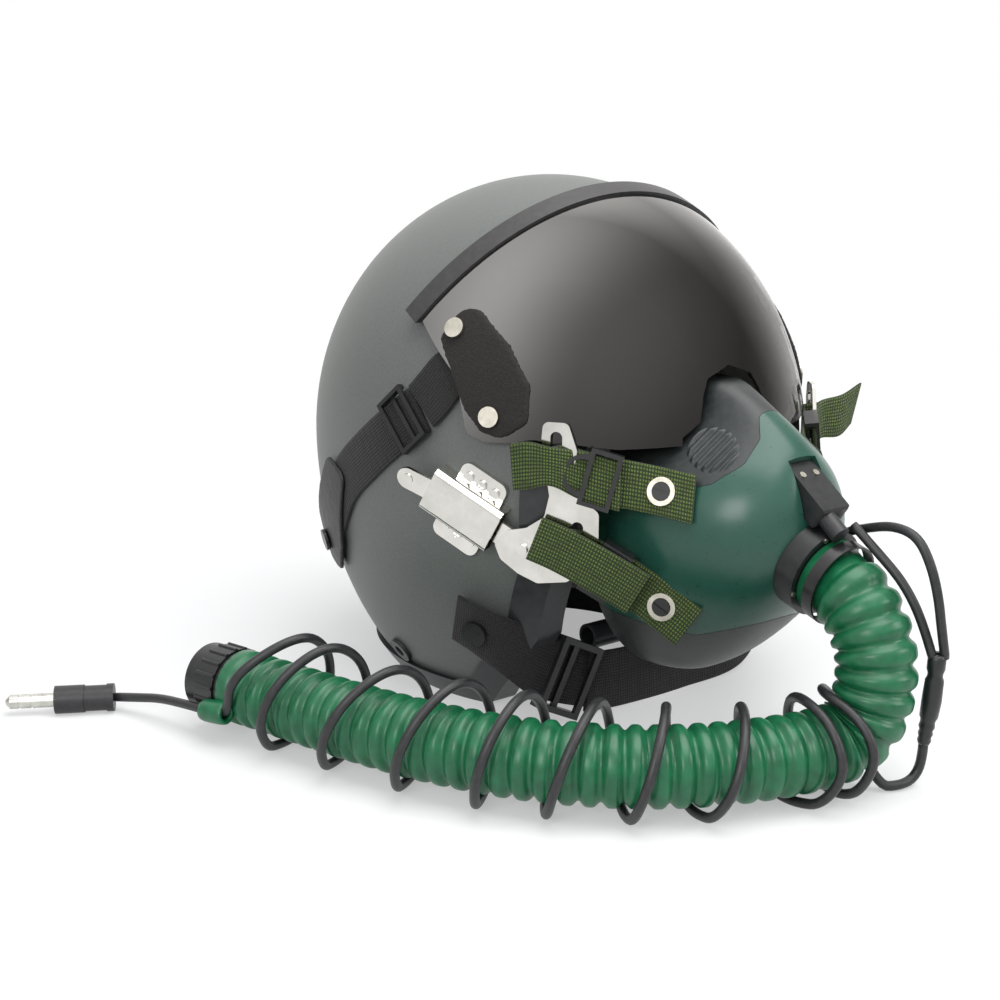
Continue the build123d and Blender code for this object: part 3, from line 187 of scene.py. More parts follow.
def finish(name, dark, light, roughness, metallic=0.0, grain=400.0, bump=0.0, coords="Object", spread=0.08):
    """A material whose colour and gloss wander between two near values, and its nodes."""
    material = bpy.data.materials.new(name)
    material.use_nodes = True
    tree = material.node_tree
    shader = tree.nodes["Principled BSDF"]
    shader.inputs["Metallic"].default_value = metallic
    place = tree.nodes.new("ShaderNodeTexCoord")
    noise = tree.nodes.new("ShaderNodeTexNoise")
    noise.inputs["Scale"].default_value = grain
    noise.inputs["Detail"].default_value = 6.0
    tree.links.new(place.outputs[coords], noise.inputs["Vector"])
    ramp = tree.nodes.new("ShaderNodeValToRGB")
    ramp.color_ramp.elements[0].position = 0.3
    ramp.color_ramp.elements[0].color = dark
    ramp.color_ramp.elements[1].position = 0.7
    ramp.color_ramp.elements[1].color = light
    tree.links.new(noise.outputs["Fac"], ramp.inputs["Fac"])
    tree.links.new(ramp.outputs["Color"], shader.inputs["Base Color"])
    gloss = tree.nodes.new("ShaderNodeMapRange")
    gloss.inputs["To Min"].default_value = max(roughness - spread, 0.02)
    gloss.inputs["To Max"].default_value = roughness + spread
    tree.links.new(noise.outputs["Fac"], gloss.inputs["Value"])
    tree.links.new(gloss.outputs["Result"], shader.inputs["Roughness"])
    relief = tree.nodes.new("ShaderNodeBump")
    relief.inputs["Strength"].default_value = 1.0
    relief.inputs["Distance"].default_value = bump
    tree.links.new(noise.outputs["Fac"], relief.inputs["Height"])
    tree.links.new(relief.outputs["Normal"], shader.inputs["Normal"])
    return material


def woven(name, dark, light, pitch, relief_depth, roughness=0.85):
    """Webbing: rows of yarn across the band, with a painted highlight dot on each yarn's crown, on the
    piece's UV map.
    """
    material = finish(name, dark, dark, roughness, grain=300.0, coords="Object")
    tree = material.node_tree
    shader = tree.nodes["Principled BSDF"]
    shader.inputs["Sheen Weight"].default_value = 0.12
    place = tree.nodes.new("ShaderNodeTexCoord")
    split = tree.nodes.new("ShaderNodeSeparateXYZ")
    tree.links.new(place.outputs["UV"], split.inputs["Vector"])
    waves = []
    for axis, stretch in (("X", YARN_ACROSS), ("Y", YARN_ALONG)):
        turn = tree.nodes.new("ShaderNodeMath")
        turn.operation = "MULTIPLY"
        turn.inputs[1].default_value = math.pi / (pitch * stretch)
        tree.links.new(split.outputs[axis], turn.inputs[0])
        wave = tree.nodes.new("ShaderNodeMath")
        wave.operation = "SINE"
        tree.links.new(turn.outputs[0], wave.inputs[0])
        waves.append(wave)
    signed = tree.nodes.new("ShaderNodeMath")
    signed.operation = "MULTIPLY"
    tree.links.new(waves[0].outputs[0], signed.inputs[0])
    tree.links.new(waves[1].outputs[0], signed.inputs[1])
    crossed = tree.nodes.new("ShaderNodeMath")
    crossed.operation = "ABSOLUTE"
    tree.links.new(signed.outputs[0], crossed.inputs[0])
    # Painted highlight: each yarn's crown, where the weave stands highest, takes the lighter colour.
    crown_highlight = tree.nodes.new("ShaderNodeMapRange")
    crown_highlight.inputs["From Min"].default_value = 0.25
    crown_highlight.inputs["From Max"].default_value = 0.95
    tree.links.new(crossed.outputs[0], crown_highlight.inputs["Value"])
    noise = next(n for n in tree.nodes if n.bl_idname == "ShaderNodeTexNoise")
    faded = tree.nodes.new("ShaderNodeMath")
    faded.operation = "MULTIPLY"
    tree.links.new(crown_highlight.outputs["Result"], faded.inputs[0])
    tree.links.new(noise.outputs["Fac"], faded.inputs[1])
    blend = tree.nodes.new("ShaderNodeMix")
    blend.data_type = "RGBA"
    blend.inputs["A"].default_value = dark
    blend.inputs["B"].default_value = light
    blend.clamp_factor = True
    gain = tree.nodes.new("ShaderNodeMath")
    gain.operation = "MULTIPLY"
    gain.inputs[1].default_value = 1.7
    tree.links.new(faded.outputs[0], gain.inputs[0])
    tree.links.new(gain.outputs[0], blend.inputs["Factor"])
    tree.links.new(blend.outputs["Result"], shader.inputs["Base Color"])
    relief = next(n for n in tree.nodes if n.bl_idname == "ShaderNodeBump")
    relief.inputs["Distance"].default_value = relief_depth
    tree.links.new(crossed.outputs[0], relief.inputs["Height"])
    return material


# %% [markdown]
# The finishes, from the photograph: a matt grey sprayed shell, semi-gloss rubber on its edge, bright nickel
# on the receivers and forks, dark green mask plastic, a livelier green hose and olive webbing.

# %% Finishes
shell_grey = finish("shell_grey", linear(99, 102, 100), linear(110, 114, 111), 0.46, grain=900, bump=0.00004)
edge_black = finish("edge_black", linear(38, 39, 41), linear(50, 52, 54), 0.4, grain=200, bump=0.00003)
foam_white = finish("foam_white", linear(196, 196, 190), linear(216, 216, 210), 0.9, grain=260, bump=0.0003)
pad_leather = finish("pad_leather", linear(30, 28, 27), linear(44, 41, 39), 0.55, grain=700, bump=0.0002)
ear_black = finish("ear_black", linear(26, 26, 28), linear(34, 34, 36), 0.5, grain=300, bump=0.00003)
trim_grey = finish("trim_grey", linear(44, 43, 44), linear(58, 56, 57), 0.42, grain=300, bump=0.00004)
flock_black = finish("flock_black", linear(20, 18, 18), linear(52, 47, 46), 0.95, grain=1800, bump=0.0005)
# The second colour of each webbing is the painted highlight on its yarn crowns.
strap_black = woven("strap_black", linear(13, 12, 12), linear(36, 33, 33), 0.0019, 0.0003)
strap_olive = woven("strap_olive", linear(38, 50, 22), linear(112, 134, 66), 0.0022, 0.0004)
keeper_leather = finish("keeper_leather", linear(24, 23, 24), linear(38, 36, 37), 0.5, grain=500,
                        bump=0.00015)
nickel = finish("nickel", linear(196, 194, 188), linear(222, 220, 214), 0.16, 1.0, grain=60, bump=0.00002,
                spread=0.05)
satin_metal = finish("satin_metal", linear(176, 172, 160), linear(206, 202, 190), 0.3, 1.0, grain=200,
                     bump=0.00002)
enamel_black = finish("enamel_black", linear(20, 20, 21), linear(32, 32, 33), 0.3, grain=200, bump=0.00003)
mask_green = finish("mask_green", linear(34, 80, 67), linear(37, 85, 71), 0.28, grain=200, bump=0.00001,
                    spread=0.02)
face_rubber = finish("face_rubber", linear(38, 42, 42), linear(50, 55, 54), 0.42, grain=300, bump=0.00005)
hose_green = finish("hose_green", linear(14, 90, 56), linear(26, 112, 72), 0.34, grain=160, bump=0.00008)
port_black = finish("port_black", linear(22, 23, 24), linear(34, 35, 36), 0.35, grain=300, bump=0.00003)
valve_pale = finish("valve_pale", linear(150, 140, 118), linear(170, 160, 138), 0.5, grain=200, bump=0.00003)
cord_black = finish("cord_black", linear(28, 28, 30), linear(44, 44, 46), 0.42, grain=350, bump=0.00006)
plug_metal = finish("plug_metal", linear(172, 172, 166), linear(206, 206, 198), 0.3, 1.0, grain=250,
                    bump=0.00004)

# %% [markdown]
# The visor is smoked and lightly mirrored: dark over the face, clear towards the wearer's left, and most like
# a mirror towards its back and where it is seen edge on. So a mirror is mixed over a clear tint.

# %% Visor finish
TINT_FROM, TINT_TO = -0.005, 0.075
MIRROR_FROM, MIRROR_TO = -0.07, -0.015
MIRROR_LEAST, MIRROR_MOST = 0.02, 0.3
EDGE_BLEND = 0.42
EDGE_SHARE = 0.85

visor_glass = bpy.data.materials.new("visor_glass")
visor_glass.use_nodes = True
tree = visor_glass.node_tree
mirror = tree.nodes["Principled BSDF"]
mirror.inputs["Base Color"].default_value = linear(208, 206, 204)
mirror.inputs["Metallic"].default_value = 1.0
mirror.inputs["Roughness"].default_value = 0.03
place = tree.nodes.new("ShaderNodeTexCoord")
split = tree.nodes.new("ShaderNodeSeparateXYZ")
tree.links.new(place.outputs["Object"], split.inputs["Vector"])
side = tree.nodes.new("ShaderNodeMapRange")
side.interpolation_type = "SMOOTHSTEP"
side.inputs["From Min"].default_value = TINT_FROM
side.inputs["From Max"].default_value = TINT_TO
tree.links.new(split.outputs["X"], side.inputs["Value"])
tint = tree.nodes.new("ShaderNodeValToRGB")
tint.color_ramp.elements[0].color = linear(92, 87, 84)
tint.color_ramp.elements[1].color = linear(246, 246, 247)
tree.links.new(side.outputs["Result"], tint.inputs["Fac"])
through = tree.nodes.new("ShaderNodeBsdfTransparent")
tree.links.new(tint.outputs["Color"], through.inputs["Color"])
backward = tree.nodes.new("ShaderNodeMapRange")
backward.interpolation_type = "SMOOTHSTEP"
backward.inputs["From Min"].default_value = MIRROR_FROM
backward.inputs["From Max"].default_value = MIRROR_TO
backward.inputs["To Min"].default_value = MIRROR_LEAST
backward.inputs["To Max"].default_value = MIRROR_MOST
tree.links.new(split.outputs["Y"], backward.inputs["Value"])
edge_on = tree.nodes.new("ShaderNodeLayerWeight")
edge_on.inputs["Blend"].default_value = EDGE_BLEND
share = tree.nodes.new("ShaderNodeMath")
share.operation = "MULTIPLY_ADD"
share.inputs[1].default_value = EDGE_SHARE
share.use_clamp = True
tree.links.new(edge_on.outputs["Fresnel"], share.inputs[0])
tree.links.new(backward.outputs["Result"], share.inputs[2])
mixed = tree.nodes.new("ShaderNodeMixShader")
tree.links.new(share.outputs[0], mixed.inputs[0])
tree.links.new(through.outputs[0], mixed.inputs[1])
tree.links.new(mirror.outputs[0], mixed.inputs[2])
tree.links.new(mixed.outputs[0], tree.nodes["Material Output"].inputs["Surface"])

# %% [markdown]
# CAD nodes whose shape is right keep it, and only take their finish.

# %% Finishes on the frame's nodes
finish_of = {
    "outer_shell": shell_grey, "edge_roll": edge_black, "impact_liner": foam_white, "ear_cups": ear_black,
    "earphones": port_black, "receiver_bases": nickel, "receiver_covers": nickel, "receiver_screws": nickel,
    "receiver_rivets": nickel, "latch_pins": nickel, "latch_lever_right": nickel, "latch_lever_left": nickel,
    "visor_lens": visor_glass, "visor_trim": trim_grey, "visor_snaps": satin_metal,
    "strap_adjusters": enamel_black, "keeper_snaps": enamel_black, "chin_buckle": enamel_black,
    "chin_roll": edge_black, "chin_screws": enamel_black, "rim_grommets": edge_black,
    "mask_shell": mask_green,
    "face_form": face_rubber, "hose_port": port_black, "port_screws": satin_metal,
    "inhalation_valve": valve_pale, "exhalation_valve": valve_pale, "mic_housing": port_black,
    "microphone": port_black, "mic_boot": cord_black, "bayonets": nickel, "strap_buckles": enamel_black,
    "strap_screws": enamel_black, "strap_grommets": satin_metal, "hose_clamp": enamel_black,
    "hose_connector": port_black, "hose_coupling": port_black, "plug_body": cord_black,
    "plug_pin": plug_metal,
}
for name, material in finish_of.items():
    nodes[name].data.materials.clear()
    nodes[name].data.materials.append(material)

# %% [markdown]
# Bands and tubes all start from a flat grid, which a rule then lays along a line. The grid brings its own
# UV map, in metres, so that a weave keeps its true size along every strap.

# %% Grid helper


def grid_piece(name, columns, rows, rule, size, closed=False):
    """A grid laid out by rule(across, along), both from 0 to 1, with a UV map in metres."""
    mesh = bmesh.new()
    mesh.loops.layers.uv.verify()
    bmesh.ops.create_grid(mesh, x_segments=columns, y_segments=rows, size=0.5, calc_uvs=True)
    uv = mesh.loops.layers.uv.active
    for face in mesh.faces:
        for loop in face.loops:
            spot = loop.vert.co
            loop[uv].uv = ((spot.x + 0.5) * size[0], (spot.y + 0.5) * size[1])
    for vert in mesh.verts:
        vert.co = rule(vert.co.x + 0.5, vert.co.y + 0.5)
    if closed:
        bmesh.ops.remove_doubles(mesh, verts=mesh.verts, dist=1e-6)
    bmesh.ops.recalc_face_normals(mesh, faces=mesh.faces)
    for face in mesh.faces:
        face.smooth = True
    data = bpy.data.meshes.new(name)
    mesh.to_mesh(data)
    mesh.free()
    piece = bpy.data.objects.new(name, data)
    scene.collection.objects.link(piece)
    return piece


def between(values, share):
    """A smooth value between stations, share running from the first to the last."""
    spot = min(max(share, 0), 1) * (len(values) - 1)
    i = min(int(spot), len(values) - 2)
    t = spot - i
    a, b = values[i], values[i + 1]
    before = values[i - 1] if i > 0 else a * 2 - b
    after = values[i + 2] if i + 2 < len(values) else b * 2 - a
    bend = (before * 2 - a * 5 + b * 4 - after) * t * t + (a * 3 - before - b * 3 + after) * t ** 3
    return (a * 2 + (b - before) * t + bend) * 0.5


def even_shares(points, count=200):
    """The line's length, and the station shares that stand at even steps of it."""
    line = [between(points, i / count) for i in range(count + 1)]
    runs = [0.0]
    for a, b in zip(line, line[1:]):
        runs.append(runs[-1] + (b - a).length)
    shares, k = [], 1
    for i in range(count + 1):
        goal = runs[-1] * i / count
        while k < count and runs[k] < goal:
            k += 1
        shares.append((k - 1 + (goal - runs[k - 1]) / (runs[k] - runs[k - 1])) / count)
    return runs[-1], shares


def thickened(piece, thickness, soften=0.3):
    """Gives a sheet its thickness and rounds its edges."""
    solid = piece.modifiers.new("thickness", "SOLIDIFY")
    solid.thickness = thickness
    solid.offset = 0
    edge = piece.modifiers.new("soft_edge", "BEVEL")
    edge.width = thickness * soften
    edge.segments = 2
    return piece


# %% [markdown]
# A strap is one band of webbing, so it is laid as a ribbon through a few stations: a place, the way its
# edge points and its width. Its layers are joined into one mesh, and then given the webbing's thickness.

# %% Ribbon helper


def ribbon(name, stations, columns=6):
    """A band of webbing through (place, edge direction, width) stations, in the drawing's millimetres."""
    centres = [at(*place) for place, edge, width in stations]
    edges = [Vector(edge).normalized() for place, edge, width in stations]
    widths = [width * MM for place, edge, width in stations]
    length, shares = even_shares(centres)

    def rule(across, along):
        share = shares[round(along * (len(shares) - 1))]
        edge = between(edges, share).normalized()
        return between(centres, share) + edge * (across - 0.5) * between(widths, share)

    rows = max(6, round(length / 0.002))
    return grid_piece(name, columns, rows, rule, (max(widths), length))


def joined(name, parts):
    """Several meshes as one piece."""
    mesh = bmesh.new()
    for part in parts:
        mesh.from_mesh(part.data)
        bpy.data.objects.remove(part)
    data = bpy.data.meshes.new(name)
    mesh.to_mesh(data)
    mesh.free()
    piece = bpy.data.objects.new(name, data)
    scene.collection.objects.link(piece)
    return piece


def placed(piece, material, slot, body, *stands_for):
    """Gives a piece its finish, its body and the nodes that it stands for."""
    piece.data.materials.clear()
    piece.data.materials.append(material)
    if body:
        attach(piece, body)
    if stands_for:
        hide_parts(*stands_for)
    return piece


# %% [markdown]
# The olive straps leave a screw on the mask's side, go through the slot of the steel fork and come back over
# themselves to a ladder lock. The real ones are sewn nylon webbing, so both layers and the turn are laid.

# %% Mask straps
WEB_THICKNESS = 1.5
UPPER_OUT = [((-43.6, -157, 126), (-0.27, -0.2, -0.94), 22),
             ((-49.3, -142, 127.5), (-0.25, -0.18, -0.95), 22),
             ((-55.5, -133, 129), (-0.2, -0.14, -0.97), 22), ((-67.5, -121, 132), (-0.1, -0.07, -0.99), 22),
             ((-79.9, -107.7, 138.3), (0, 0, -1), 18)]
UPPER_BACK = [((-64.6, -131.2, 129.6), (-0.1, -0.07, -0.99), 22),
              ((-76.9, -118.2, 134.4), (-0.1, -0.07, -0.99), 22),
              ((-88.5, -110.8, 138.8), (0, 0, -1), 18), ((-94.5, -102, 138.5), (0, 0, -1), 22),
              ((-98.8, -95, 137), (0.1, 0, -1), 22)]
LOWER_OUT = [((-42.5, -155, 65), (-0.33, 0.44, -0.84), 22), ((-48.8, -143.5, 73.5), (-0.33, 0.44, -0.84), 22),
             ((-54, -136, 79.5), (-0.3, 0.4, -0.87), 22), ((-66, -124, 90), (-0.26, 0.37, -0.89), 22),
             ((-76.5, -113, 98.5), (-0.2, 0.3, -0.93), 20)]
LOWER_BACK = [((-60.5, -140, 80.5), (-0.3, 0.4, -0.87), 22), ((-74.3, -128.3, 91.5), (-0.24, 0.34, -0.9), 22),
              ((-85.3, -114.5, 100), (-0.2, 0.3, -0.93), 22),
              ((-92.5, -103.8, 104.5), (-0.2, 0.3, -0.93), 22)]
UPPER_BACK_LEFT = UPPER_BACK[:2] + [((-88.5, -112, 138.8), (0, 0, -1), 20),
                                    ((-101, -114.5, 140), (0.1, 0, -1), 22),
                                   ((-113, -114, 145), (0.3, 0, -0.95), 22)]


def flipped(stations):
    """The same stations on the wearer's left."""
    return [((-p[0], p[1], p[2]), (-e[0], e[1], e[2]), width) for p, e, width in stations]


for level, out, back in (("upper", UPPER_OUT, UPPER_BACK), ("lower", LOWER_OUT, LOWER_BACK)):
    for side, turned in (("right", list), ("left", flipped)):
        name = f"{level}_webbing_{side}"
        tail = UPPER_BACK_LEFT if name == "upper_webbing_left" else back
        layers = [ribbon(name + "_out", turned(out)), ribbon(name + "_back", turned(tail)),
                  ribbon(name + "_turn", turned([out[-1], back[2]]))]
        strap = thickened(joined(name, layers), WEB_THICKNESS * MM)
        placed(strap, strap_olive, "olive_webbing", "mask", f"{level}_strap_{side}")
        print(name, len(strap.data.vertices))

# %% [markdown]
# The chin strap is wider black webbing in two parts that meet in the ladder lock under the wearer's right
# jaw. It hangs from a screw on each side of the shell.

# %% Chin strap
CHIN_THICKNESS = 2.1
CHIN_WIDTH = 31
CHIN_SIDE = [((-103.5, -56.5, 56), (0.2, 0.45, -0.87)), ((-98.5, -67.5, 51), (0.2, 0.4, -0.89)),
             ((-88, -79.5, 43), (0, 0.25, -0.97)), ((-65, -82.5, 28.5), (-0.46, 0, -0.89)),
             ((-40, -81.5, 18), (-0.2, 0, -0.98))]
CHIN_MIDDLE = [((-44, -86, 17.5), (-0.15, 0, -0.98)), ((-20, -87, 16), (0, 0, -1)),
               ((20, -87, 15.7), (0, 0, -1)),
               ((60, -87, 19.5), (0.2, 0, -0.98)), ((90, -82, 43), (0, 0.25, -0.97)),
               ((98.5, -67.5, 51), (-0.2, 0.4, -0.89)), ((103.5, -56.5, 56), (-0.2, 0.45, -0.87))]
for name, stations, node in (("chin_webbing_right", CHIN_SIDE, "chin_strap_right"),
                             ("chin_webbing_left", CHIN_MIDDLE, "chin_strap_left")):
    strap = ribbon(name, [(place, edge, CHIN_WIDTH) for place, edge in stations], 8)
    placed(thickened(strap, CHIN_THICKNESS * MM), strap_black, "black_webbing", "root", node)
    print(name, len(strap.data.vertices))

# %% [markdown]
# The elastic lies flat on the shell from the leather keeper to its adjuster, and then climbs to the flocked
# patch on the visor. That last stretch crosses the visor's hinge, and is a separate piece tied to neither
# body.

# %% Elastic straps
SHELL_SIZE = (121.0, 137.0, 136.0, 167.0)
HINGE_HEIGHT = 125.0
ELASTIC_WIDTH = 25.0
ELASTIC_THICKNESS = 1.8
ELASTIC_SHARES = [(-0.31, 1.26), (-0.212, 1.175), (-0.058, 1.04), (0.088, 0.912), (0.219, 0.748),
                  (0.38, 0.56)]
ELASTIC_END = [((-113.0, -43.5, 158.5), (-0.06, 0.72, 0.68), 25),
               ((-109.3, -49, 166), (-0.12, 0.78, 0.6), 25),
               ((-103.6, -54, 176), (-0.17, 0.85, 0.48), 24),
               ((-99.6, -57.5, 181.5), (-0.21, 0.91, 0.34), 22)]


def on_shell(y, z, lift):
    """The place on the shell's right side that a side view shows at (y, z), lifted off it."""
    half_width, half_length, high, low = (size + lift for size in SHELL_SIZE)
    tall = high if z > HINGE_HEIGHT else low
    rest = 1 - (y / half_length) ** 2 - ((z - HINGE_HEIGHT) / tall) ** 2
    return at(-half_width * math.sqrt(max(rest, 0)), y, z)


elastic_line = [Vector((y * SHELL_SIZE[1], z * HINGE_HEIGHT, 0)) for y, z in ELASTIC_SHARES]
elastic_length, elastic_shares = even_shares(elastic_line)


def elastic_rule(across, along):
    share = elastic_shares[round(along * (len(elastic_shares) - 1))]
    spot = between(elastic_line, share)
    ahead = between(elastic_line, share + 0.02) - between(elastic_line, share - 0.02)
    side = Vector((-ahead.y, ahead.x, 0)).normalized()
    spot = spot + side * (across - 0.5) * ELASTIC_WIDTH
    return on_shell(spot.x, spot.y, ELASTIC_THICKNESS / 2 + 0.2)


def mirror_copy(piece, name):
    """The same piece on the wearer's left, with its faces turned the right way."""
    data = piece.data.copy()
    mesh = bmesh.new()
    mesh.from_mesh(data)
    bmesh.ops.scale(mesh, vec=(-1, 1, 1), verts=mesh.verts)
    bmesh.ops.reverse_faces(mesh, faces=mesh.faces)
    mesh.to_mesh(data)
    mesh.free()
    copy = bpy.data.objects.new(name, data)
    scene.collection.objects.link(copy)
    return copy


size = (ELASTIC_WIDTH * MM, elastic_length * MM)
elastic_right = grid_piece("elastic_right", 8, 80, elastic_rule, size)
elastic_left = mirror_copy(elastic_right, "elastic_left")
placed(thickened(elastic_right, ELASTIC_THICKNESS * MM), strap_black, "black_webbing", "root", "visor_straps")
placed(thickened(elastic_left, ELASTIC_THICKNESS * MM), strap_black, "black_webbing", "root")
for side in (-1, 1):
    name = "elastic_end_right" if side < 0 else "elastic_end_left"
    end = ribbon(name, ELASTIC_END if side < 0 else flipped(ELASTIC_END), 8)
    placed(thickened(end, ELASTIC_THICKNESS * MM), strap_black, "black_webbing", None)
    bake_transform(end)
    print(name, len(end.data.vertices))

# %% [markdown]
# Pads, seals, patches and leather keepers keep the place of their solids, but not their hard edges. A voxel
# remesh and a smoothing round them off the way foam under leather and cut hide really are.

# %% Soft pieces from their solids


def softened(node, name, voxel, passes, material, slot, body, push=0.0, grain=0.004):
    """A soft copy of a node: remeshed, smoothed and, where it has a pile or a crease, displaced."""
    data = nodes[node].data.copy()
    mesh = bmesh.new()
    mesh.from_mesh(data)
    bmesh.ops.remove_doubles(mesh, verts=mesh.verts, dist=1e-5)
    mesh.to_mesh(data)
    mesh.free()
    piece = bpy.data.objects.new(name, data)
    scene.collection.objects.link(piece)
    remesh = piece.modifiers.new("remesh", "REMESH")
    remesh.mode = "VOXEL"
    remesh.voxel_size = voxel
    remesh.use_smooth_shade = True
    smooth = piece.modifiers.new("smooth", "SMOOTH")
    smooth.factor = 0.5
    smooth.iterations = passes
    if push:
        texture = bpy.data.textures.new(name, "CLOUDS")
        texture.noise_scale = grain
        rough = piece.modifiers.new("rough", "DISPLACE")
        rough.texture = texture
        rough.strength = push
        rough.mid_level = 0.5
    placed(piece, material, slot, body, node)
    return piece


for node in ("brow_pad", "crown_pad", "nape_pad", "ear_seals"):
    pad = softened(node, node + "_leather", 0.0025, 6, pad_leather, "pad_leather", "root", 0.0006, 0.012)
patches = softened("visor_patches", "flocked_patches", 0.0006, 14, flock_black, "flock", "visor", 0.0005,
                   0.0012)
softened("rear_keepers", "leather_keepers", 0.0007, 3, keeper_leather, "black_leather", "root",
         0.0003, 0.008)
print("patches", tuple(round(v, 4) for v in patches.dimensions))

# %% [markdown]
# The hose and the cords are one long flexible line each, so every one follows a smooth spline through the
# route's points. The line's own points are then read back, to lay rings, turns and fittings along it.

# %% Line helpers


def line_points(route):
    """The points of the smooth line that a route's points steer."""
    curve = bpy.data.curves.new("line", "CURVE")
    curve.dimensions = "3D"
    curve.resolution_u = 24
    spline = curve.splines.new("NURBS")
    spline.points.add(len(route) - 1)
    for point, place in zip(spline.points, route):
        point.co = (*place, 1)
    spline.order_u = 3
    spline.use_endpoint_u = True
    holder = bpy.data.objects.new("line", curve)
    scene.collection.objects.link(holder)
    bpy.context.view_layer.update()
    mesh = bpy.data.meshes.new_from_object(holder)
    points = [v.co.copy() for v in mesh.vertices]
    bpy.data.meshes.remove(mesh)
    bpy.data.objects.remove(holder)
    return points


def measured(points):
    """The length reached at each point of a line."""
    runs = [0.0]
    for a, b in zip(points, points[1:]):
        runs.append(runs[-1] + (b - a).length)
    return runs


def along_line(points, runs, distance):
    """The place and the heading at a distance along a line."""
    goal = min(max(distance, 0), runs[-1])
    low, high = 0, len(runs) - 1
    while high - low > 1:
        middle = (low + high) // 2
        low, high = (middle, high) if runs[middle] <= goal else (low, middle)
    gap = runs[high] - runs[low]
    t = (goal - runs[low]) / gap if gap else 0
    ahead = points[min(high + 1, len(points) - 1)] - points[max(low - 1, 0)]
    return points[low].lerp(points[high], t), ahead.normalized()


def tube(name, points, rings, sides):
    """A tube of (distance, radius) rings along a line, with a steady seam side."""
    runs = measured(points)
    frames = []
    steady = Vector((0, 0.9, -0.4))
    for distance, radius in rings:
        place, ahead = along_line(points, runs, distance)
        steady = (steady - ahead * steady.dot(ahead)).normalized()
        frames.append((place, steady.copy(), ahead.cross(steady), radius))

    def rule(across, along):
        place, first, second, radius = frames[round(along * (len(frames) - 1))]
        turn = across * math.tau
        return place + (first * math.cos(turn) + second * math.sin(turn)) * radius

    return grid_piece(name, sides, len(rings) - 1, rule, (1.0, runs[-1]), closed=True)


def cord_rings(length, radius, step):
    """Even rings along a plain cord, drawn in a little at both ends."""
    count = max(8, round(length / step))
    inner = [(length * i / count, radius) for i in range(1, count)]
    return [(0, radius * 0.2), (0, radius * 0.9), *inner, (length, radius * 0.9), (length, radius * 0.2)]


# %% [markdown]
# The breathing hose is moulded rubber with a ring rib every nine millimetres and a plain cuff at each end.
# Each rib is drawn as it is moulded: a full round crown and a narrow groove.

# %% Hose
HOSE_RADIUS = 0.018
HOSE_GROOVE = 0.0026
HOSE_BORE = 0.0125
HOSE_CUFF = 0.012
HOSE_PITCH = 0.0093
HOSE_START = (0, -197.08, 93.12)
HOSE_ROUTE = [(0, -211, 89.1), (0, -221.5, 79), (0, -228.5, 65), (-1, -230, 50), (-4, -228.5, 36),
              (-11, -224.5, 26),
              (-25, -219.5, 23), (-42, -215.5, 23), (-62, -208.6, 23), (-82, -198.5, 23), (-100, -186.6, 23),
              (-118, -169.5, 23), (-135, -149, 23), (-150, -123.5, 23), (-162, -96, 23), (-172, -66, 23),
              (-180, -36.5, 23)]
HOSE_END = (-190.4, 0.7, 23)

hose_line = line_points([at(*p) for p in (HOSE_START, *HOSE_ROUTE, HOSE_END)])
hose_runs = measured(hose_line)
hose_length = hose_runs[-1]
rib_count = round((hose_length - HOSE_CUFF - HOSE_PITCH) / HOSE_PITCH)
rib_pitch = (hose_length - HOSE_CUFF - HOSE_PITCH) / rib_count
hose_rings = [(0, HOSE_BORE), (0, HOSE_RADIUS * 0.97), (0.0006, HOSE_RADIUS)]
for rib in range(rib_count):
    for step in range(12):
        share = step / 12
        dip = (0.5 + 0.5 * math.cos(share * math.tau)) ** 2.2
        hose_rings.append((HOSE_CUFF + (rib + share) * rib_pitch, HOSE_RADIUS - HOSE_GROOVE * dip))
hose_rings += [(hose_length - HOSE_PITCH, HOSE_RADIUS - HOSE_GROOVE), (hose_length - 0.0075, HOSE_RADIUS),
               (hose_length - 0.0006, HOSE_RADIUS), (hose_length, HOSE_RADIUS * 0.97),
               (hose_length, HOSE_BORE)]
breathing_hose = tube("breathing_hose", hose_line, hose_rings, 64)
placed(breathing_hose, hose_green, "hose_rubber", None, "hose")
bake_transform(breathing_hose)
print("hose", round(hose_length, 4), "ribs", rib_count, "pitch", round(rib_pitch, 5))

# %% [markdown]
# At its far end the hose has a moulded eye beside the cuff, which leads the cord off to its plug. It is a
# thick rounded sleeve, so one rounded section is spun about the cord.

# %% Cord eye
TAIL_ROUTE = [(-206, -13.8, 16.8), (-208.4, -5.5, 15.6), (-210.8, 1.8, 15.4), (-214.3, 16, 14.6),
              (-217.8, 35, 12.2),
              (-223, 50, 9), (-230, 62.5, 7)]
EYE_LENGTH = 0.0155
EYE_BORE = 0.0026
EYE_WALL = 0.003
eye_from, eye_to = at(*TAIL_ROUTE[0]), at(*TAIL_ROUTE[2])
eye_ahead = (eye_to - eye_from).normalized()
eye_turn = eye_ahead.to_track_quat("Z", "Y").to_matrix().to_4x4()
eye_mesh = bmesh.new()
bmesh.ops.create_circle(eye_mesh, segments=20, radius=0.5)
for vert in eye_mesh.verts:
    x, y = vert.co.x, vert.co.y
    stretch = (abs(2 * x) ** 4 + abs(2 * y) ** 4) ** -0.25 if x or y else 1
    vert.co = Vector((EYE_BORE + EYE_WALL / 2 + x * stretch * EYE_WALL, 0, (y * stretch + 0.5) * EYE_LENGTH))
bmesh.ops.spin(eye_mesh, geom=eye_mesh.edges[:], axis=(0, 0, 1), cent=(0, 0, 0), angle=math.tau, steps=32,
               use_merge=True)
bmesh.ops.recalc_face_normals(eye_mesh, faces=eye_mesh.faces)
bmesh.ops.transform(eye_mesh, matrix=eye_turn, verts=eye_mesh.verts)
bmesh.ops.translate(eye_mesh, vec=eye_from, verts=eye_mesh.verts)
for face in eye_mesh.faces:
    face.smooth = True
eye_data = bpy.data.meshes.new("cord_eye")
eye_mesh.to_mesh(eye_data)
eye_mesh.free()
